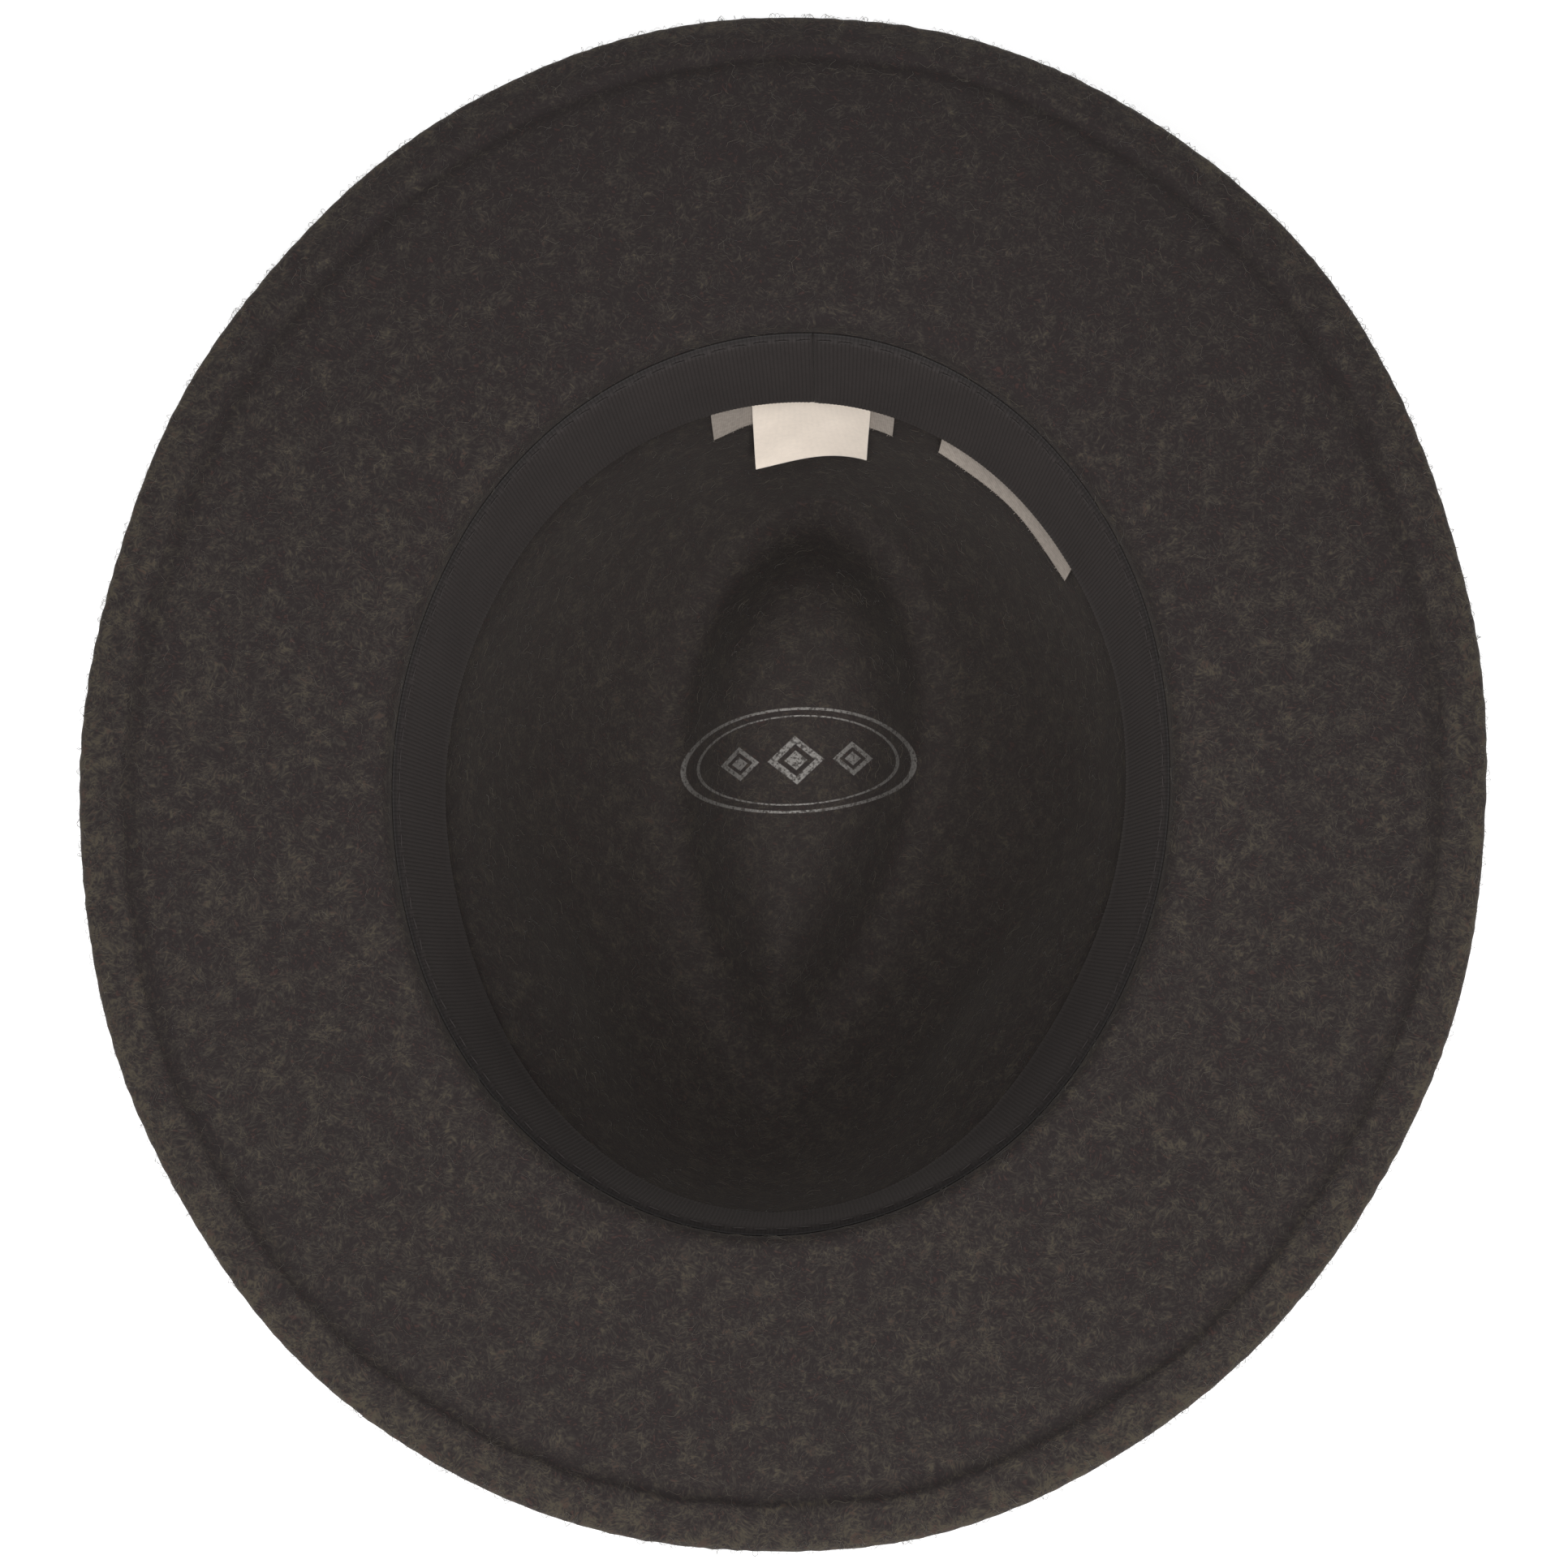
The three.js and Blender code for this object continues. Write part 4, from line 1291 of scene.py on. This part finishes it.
class HAT_OT_make_stitches(bpy.types.Operator):
    """Sew the ribbon's upper edge with a row of dark stitches"""

    bl_idname = "hat.make_stitches"
    bl_label = "Make stitches"

    def execute(self, context):
        form = Form(context.scene.hat_sizes)
        ribbon, labels = context.scene.hat_ribbon, context.scene.hat_labels
        angles = np.linspace(0, 2 * math.pi, STITCH_PATH_STEPS, endpoint=False)
        drop = ribbon.sewn_drop + 0.6 * ribbon.selvage
        gap = band_gap(ribbon, labels, drop) + ribbon.ribbon
        points = form.swayed(form.off_wall(angles, drop, gap))
        path = line_object(context, "stitch_path", points, True)
        material = thread_material("dark_thread", context.scene.hat_colours.ribbon, 0.7, 1.0)
        values = {"Pitch": ribbon.stitch_pitch, "Stitch Length": ribbon.stitch_length,
                  "Thread": ribbon.thread, "Material": material}
        piece = made_by_nodes(context, path, stitch_tree(), values, "edge_stitches")
        bpy.data.objects.remove(path)
        finish_piece(piece, "ribbon")
        return {"FINISHED"}


def tight_steps(count):
    """Shares from 0 to 1 in even steps, but for a short first and last one, which keep a cut edge crisp."""
    return np.array([0.0, *np.linspace(CUT_EDGE, 1 - CUT_EDGE, count - 2), 1.0])


def label_piece(context, form, name, middle, width, drop_at, gap_at, top, material):
    """A label along the wall. Functions give its drop below the ribbon's edge and its gap to the wall."""
    labels = context.scene.hat_labels
    shares = tight_steps(LABEL_COLUMNS)
    runs = width * (shares - 0.5)
    drops = np.array([drop_at(share) for share in shares])
    inner, outer, measures = [], [], []
    for step in tight_steps(LABEL_ROWS):
        below = top - labels.tuck + (drops + labels.tuck) * step
        angles = form.angle_at_run(middle + runs, float(below.mean()))
        gaps = [gap_at(share, max(0.0, at - top) / drop) for share, drop, at in zip(shares, drops, below)]
        for rows, thick in ((outer, 0.0), (inner, labels.label)):
            row = [form.off_wall([a], b, g + thick)[0] for a, b, g in zip(angles, below, gaps)]
            rows.append(form.swayed(np.array(row)))
        measures.append(np.stack([runs, below, np.zeros(LABEL_COLUMNS)], axis=1))
    made = cloth_strip(context, name, inner, outer, measures, material)
    flat = (width, float(drops.max()) + labels.tuck)
    return made, inner[-1], flat, width * (float(drops.mean()) + labels.tuck)


class HAT_OT_make_labels(bpy.types.Operator):
    """Make the bare white label and the two bare grey ones behind the ribbon's free edge"""

    bl_idname = "hat.make_labels"
    bl_label = "Make labels"

    def execute(self, context):
        form = Form(context.scene.hat_sizes)
        labels, ribbon = context.scene.hat_labels, context.scene.hat_ribbon
        colours = context.scene.hat_colours
        top = ribbon.sewn_drop + ribbon.height
        white = cloth_material(
            "white_label", colours.white, 0.00022, 0.00018, 0.12, 0.00004, Roughness=0.5,
            Specular_IOR_Level=0.4, Sheen_Weight=0.5, Sheen_Roughness=0.3,
        )
        grey = cloth_material(
            "grey_label", colours.grey, 0.00030, 0.00030, 0.5, 0.00008, Roughness=0.7, Specular_IOR_Level=0.3
        )
        cut_thread = thread_material("cut_thread", colours.grey, 0.8, 1.1)

        def wave(share, depth, turn):
            return depth * math.sin(turn * share)

        def care_drop(share):
            return labels.care_drop * (1.02 - 0.04 * share)

        def care_gap(share, down):
            lift = labels.care_flare + labels.care_twist * math.cos(math.pi * share)
            return 2 * labels.gap + labels.label + lift * down**1.6

        def back_drop(share):
            return mix(labels.back_drop_left, labels.back_drop_right, share) + wave(share, *BACK_WAVE)

        def back_gap(share, down):
            return labels.gap + labels.back_flare * down**1.5 * abs(2 * share - 1) ** 3

        def side_drop(share):
            return labels.side_drop + wave(share, *SIDE_WAVE)

        def side_gap(share, down):
            return labels.gap + labels.side_flare * down**1.2

        care, _, flat, area = label_piece(context, form, "white_care_label", labels.care_middle,
                                          labels.care_width, care_drop, care_gap, top, white)
        finish_piece(care, "white_label", "care_label")
        for name, node, middle, drop_at, gap_at in (
            ("grey_back_label", "back_tape", labels.back_middle, back_drop, back_gap),
            ("grey_side_label", "side_tape", labels.side_middle, side_drop, side_gap),
        ):
            piece, edge, flat, area = label_piece(context, form, name, middle, labels.tape_length, drop_at,
                                                  gap_at, top, grey)
            finish_piece(piece, "grey_label", node)
            ends = self.fray(context, edge, cut_thread, name + "_fray")
        return {"FINISHED"}

    def fray(self, context, edge, material, name):
        """Lets short cut threads stand out of a label's lower edge, and gives them back."""
        path = line_object(context, name + "_path", edge, False)
        tree = shared_group("cut_threads", fray_tree)
        piece = made_by_nodes(context, path, tree, {**FRAY, "Material": material}, name)
        bpy.data.objects.remove(path)
        finish_piece(piece, "grey_label")
        return piece


def fray_tree():
    """Short threads that hang from a cut edge, each at its own slant."""
    sockets = [(name, "Float", value) for name, value in FRAY.items()]
    nodes, given, result = new_geometry_tree("cut_threads", sockets)
    length = given["Length"]
    thread = thread_mesh(nodes, given, nodes.times(length, 0.15), nodes.times(length, 0.1))
    down = nodes.made("FunctionNodeAlignRotationToVector", {"Vector": (0.0, 0.0, -1.0)}, axis="X")
    scale = random_number(nodes, 0.4, 1.3, 31)
    tilt = nodes.combined(0.0, random_number(nodes, -0.3, 0.3, 32), random_number(nodes, -0.4, 0.4, 33))
    turned = copies(nodes, even_steps(nodes, given), thread, down, scale, tilt)
    return finished_tree(nodes, given, result, turned)


class HAT_OT_make_stage(bpy.types.Operator):
    """Set up the pale floor, the soft lights and the camera over the head opening"""

    bl_idname = "hat.make_stage"
    bl_label = "Make stage"

    def execute(self, context):
        stage = context.scene.hat_stage
        self.make_floor(context)
        self.make_camera(context, stage)
        for light in LIGHTS:
            self.make_light(context, light, getattr(stage, light.strength))
        world = bpy.data.worlds.new("soft_surround")
        world.use_nodes = True
        background = world.node_tree.nodes["Background"]
        background.inputs["Color"].default_value = (1.0, 1.0, 1.0, 1.0)
        background.inputs["Strength"].default_value = stage.surround
        context.scene.world = world
        context.scene.view_settings.view_transform = "Standard"
        return {"FINISHED"}

    def make_floor(self, context):
        material, nodes, shader = new_material(
            "pale_floor", Roughness=0.9, Specular_IOR_Level=0.1, Emission_Strength=0.25,
            Emission_Color=(1.0, 1.0, 1.0, 1.0),
        )
        tone = nodes.ramp(nodes.noise(nodes.place(), 3.0, 2.0), 0.3, 0.7)
        pale = nodes.blend(tone, (0.90, 0.90, 0.90, 1.0), (0.92, 0.92, 0.92, 1.0))
        nodes.link(pale, shader.inputs["Base Color"])
        half = FLOOR_HALF
        corners = [(-half, -half, 0.0), (half, -half, 0.0), (half, half, 0.0), (-half, half, 0.0)]
        new_object(context, "floor", corners, [(0, 1, 2, 3)], material)

    def make_camera(self, context, stage):
        aim = Vector(stage.aim)
        away = Vector((math.tan(stage.yaw), -math.tan(stage.tilt), 1.0)).normalized()
        up = (Vector((0.0, 1.0, 0.0)) - away * away.y).normalized()
        up = Matrix.Rotation(stage.roll, 3, away) @ up
        right = up.cross(away)
        data = bpy.data.cameras.new("overhead")
        data.lens = stage.lens
        data.sensor_width = SENSOR_WIDTH
        data.clip_end = FARTHEST
        camera = linked(context, "overhead", data)
        turn = Matrix((right, up, away)).transposed()
        camera.matrix_world = Matrix.Translation(aim + away * stage.distance) @ turn.to_4x4()
        context.scene.camera = camera

    def make_light(self, context, light, power):
        data = bpy.data.lights.new(light.name, "AREA")
        data.energy = power
        data.size = light.size
        made = linked(context, light.name, data)
        made.location = light.place
        made.rotation_euler = (Vector(light.aim) - Vector(light.place)).to_track_quat("-Z", "Y").to_euler()


class HAT_PT_panel(bpy.types.Panel):
    """Sizes, colours and steps of the felt hat"""

    bl_idname = "HAT_PT_panel"
    bl_label = "Felt hat"
    bl_space_type = "VIEW_3D"
    bl_region_type = "UI"
    bl_category = "Hat"

    def draw(self, context):
        for operator in OPERATORS:
            self.layout.operator(operator.bl_idname)
        for name in GROUPS:
            box = self.layout.box()
            group = getattr(context.scene, name)
            for key in group.__annotations__:
                box.prop(group, key)


GROUPS = {
    "hat_sizes": HatSizes,
    "hat_ribbon": RibbonSizes,
    "hat_labels": LabelSizes,
    "hat_fibres": FibreSizes,
    "hat_colours": HatColours,
    "hat_stage": StageSettings,
}
OPERATORS = (
    HAT_OT_make_stage,
    HAT_OT_make_felt,
    HAT_OT_make_fibres,
    HAT_OT_make_sweatband,
    HAT_OT_make_stitches,
    HAT_OT_make_labels,
)


def register():
    for group in GROUPS.values():
        bpy.utils.register_class(group)
    for name, group in GROUPS.items():
        setattr(bpy.types.Scene, name, PointerProperty(type=group))
    for operator in OPERATORS:
        bpy.utils.register_class(operator)
    bpy.utils.register_class(HAT_PT_panel)


def unregister():
    bpy.utils.unregister_class(HAT_PT_panel)
    for operator in reversed(OPERATORS):
        bpy.utils.unregister_class(operator)
    for name, group in GROUPS.items():
        delattr(bpy.types.Scene, name)
        bpy.utils.unregister_class(group)


def main():
    """Makes the whole scene."""
    register()
    bpy.ops.hat.make_stage()
    bpy.ops.hat.make_felt()
    bpy.ops.hat.make_fibres()
    bpy.ops.hat.make_sweatband()
    bpy.ops.hat.make_stitches()
    bpy.ops.hat.make_labels()


if __name__ == "__main__":
    main()
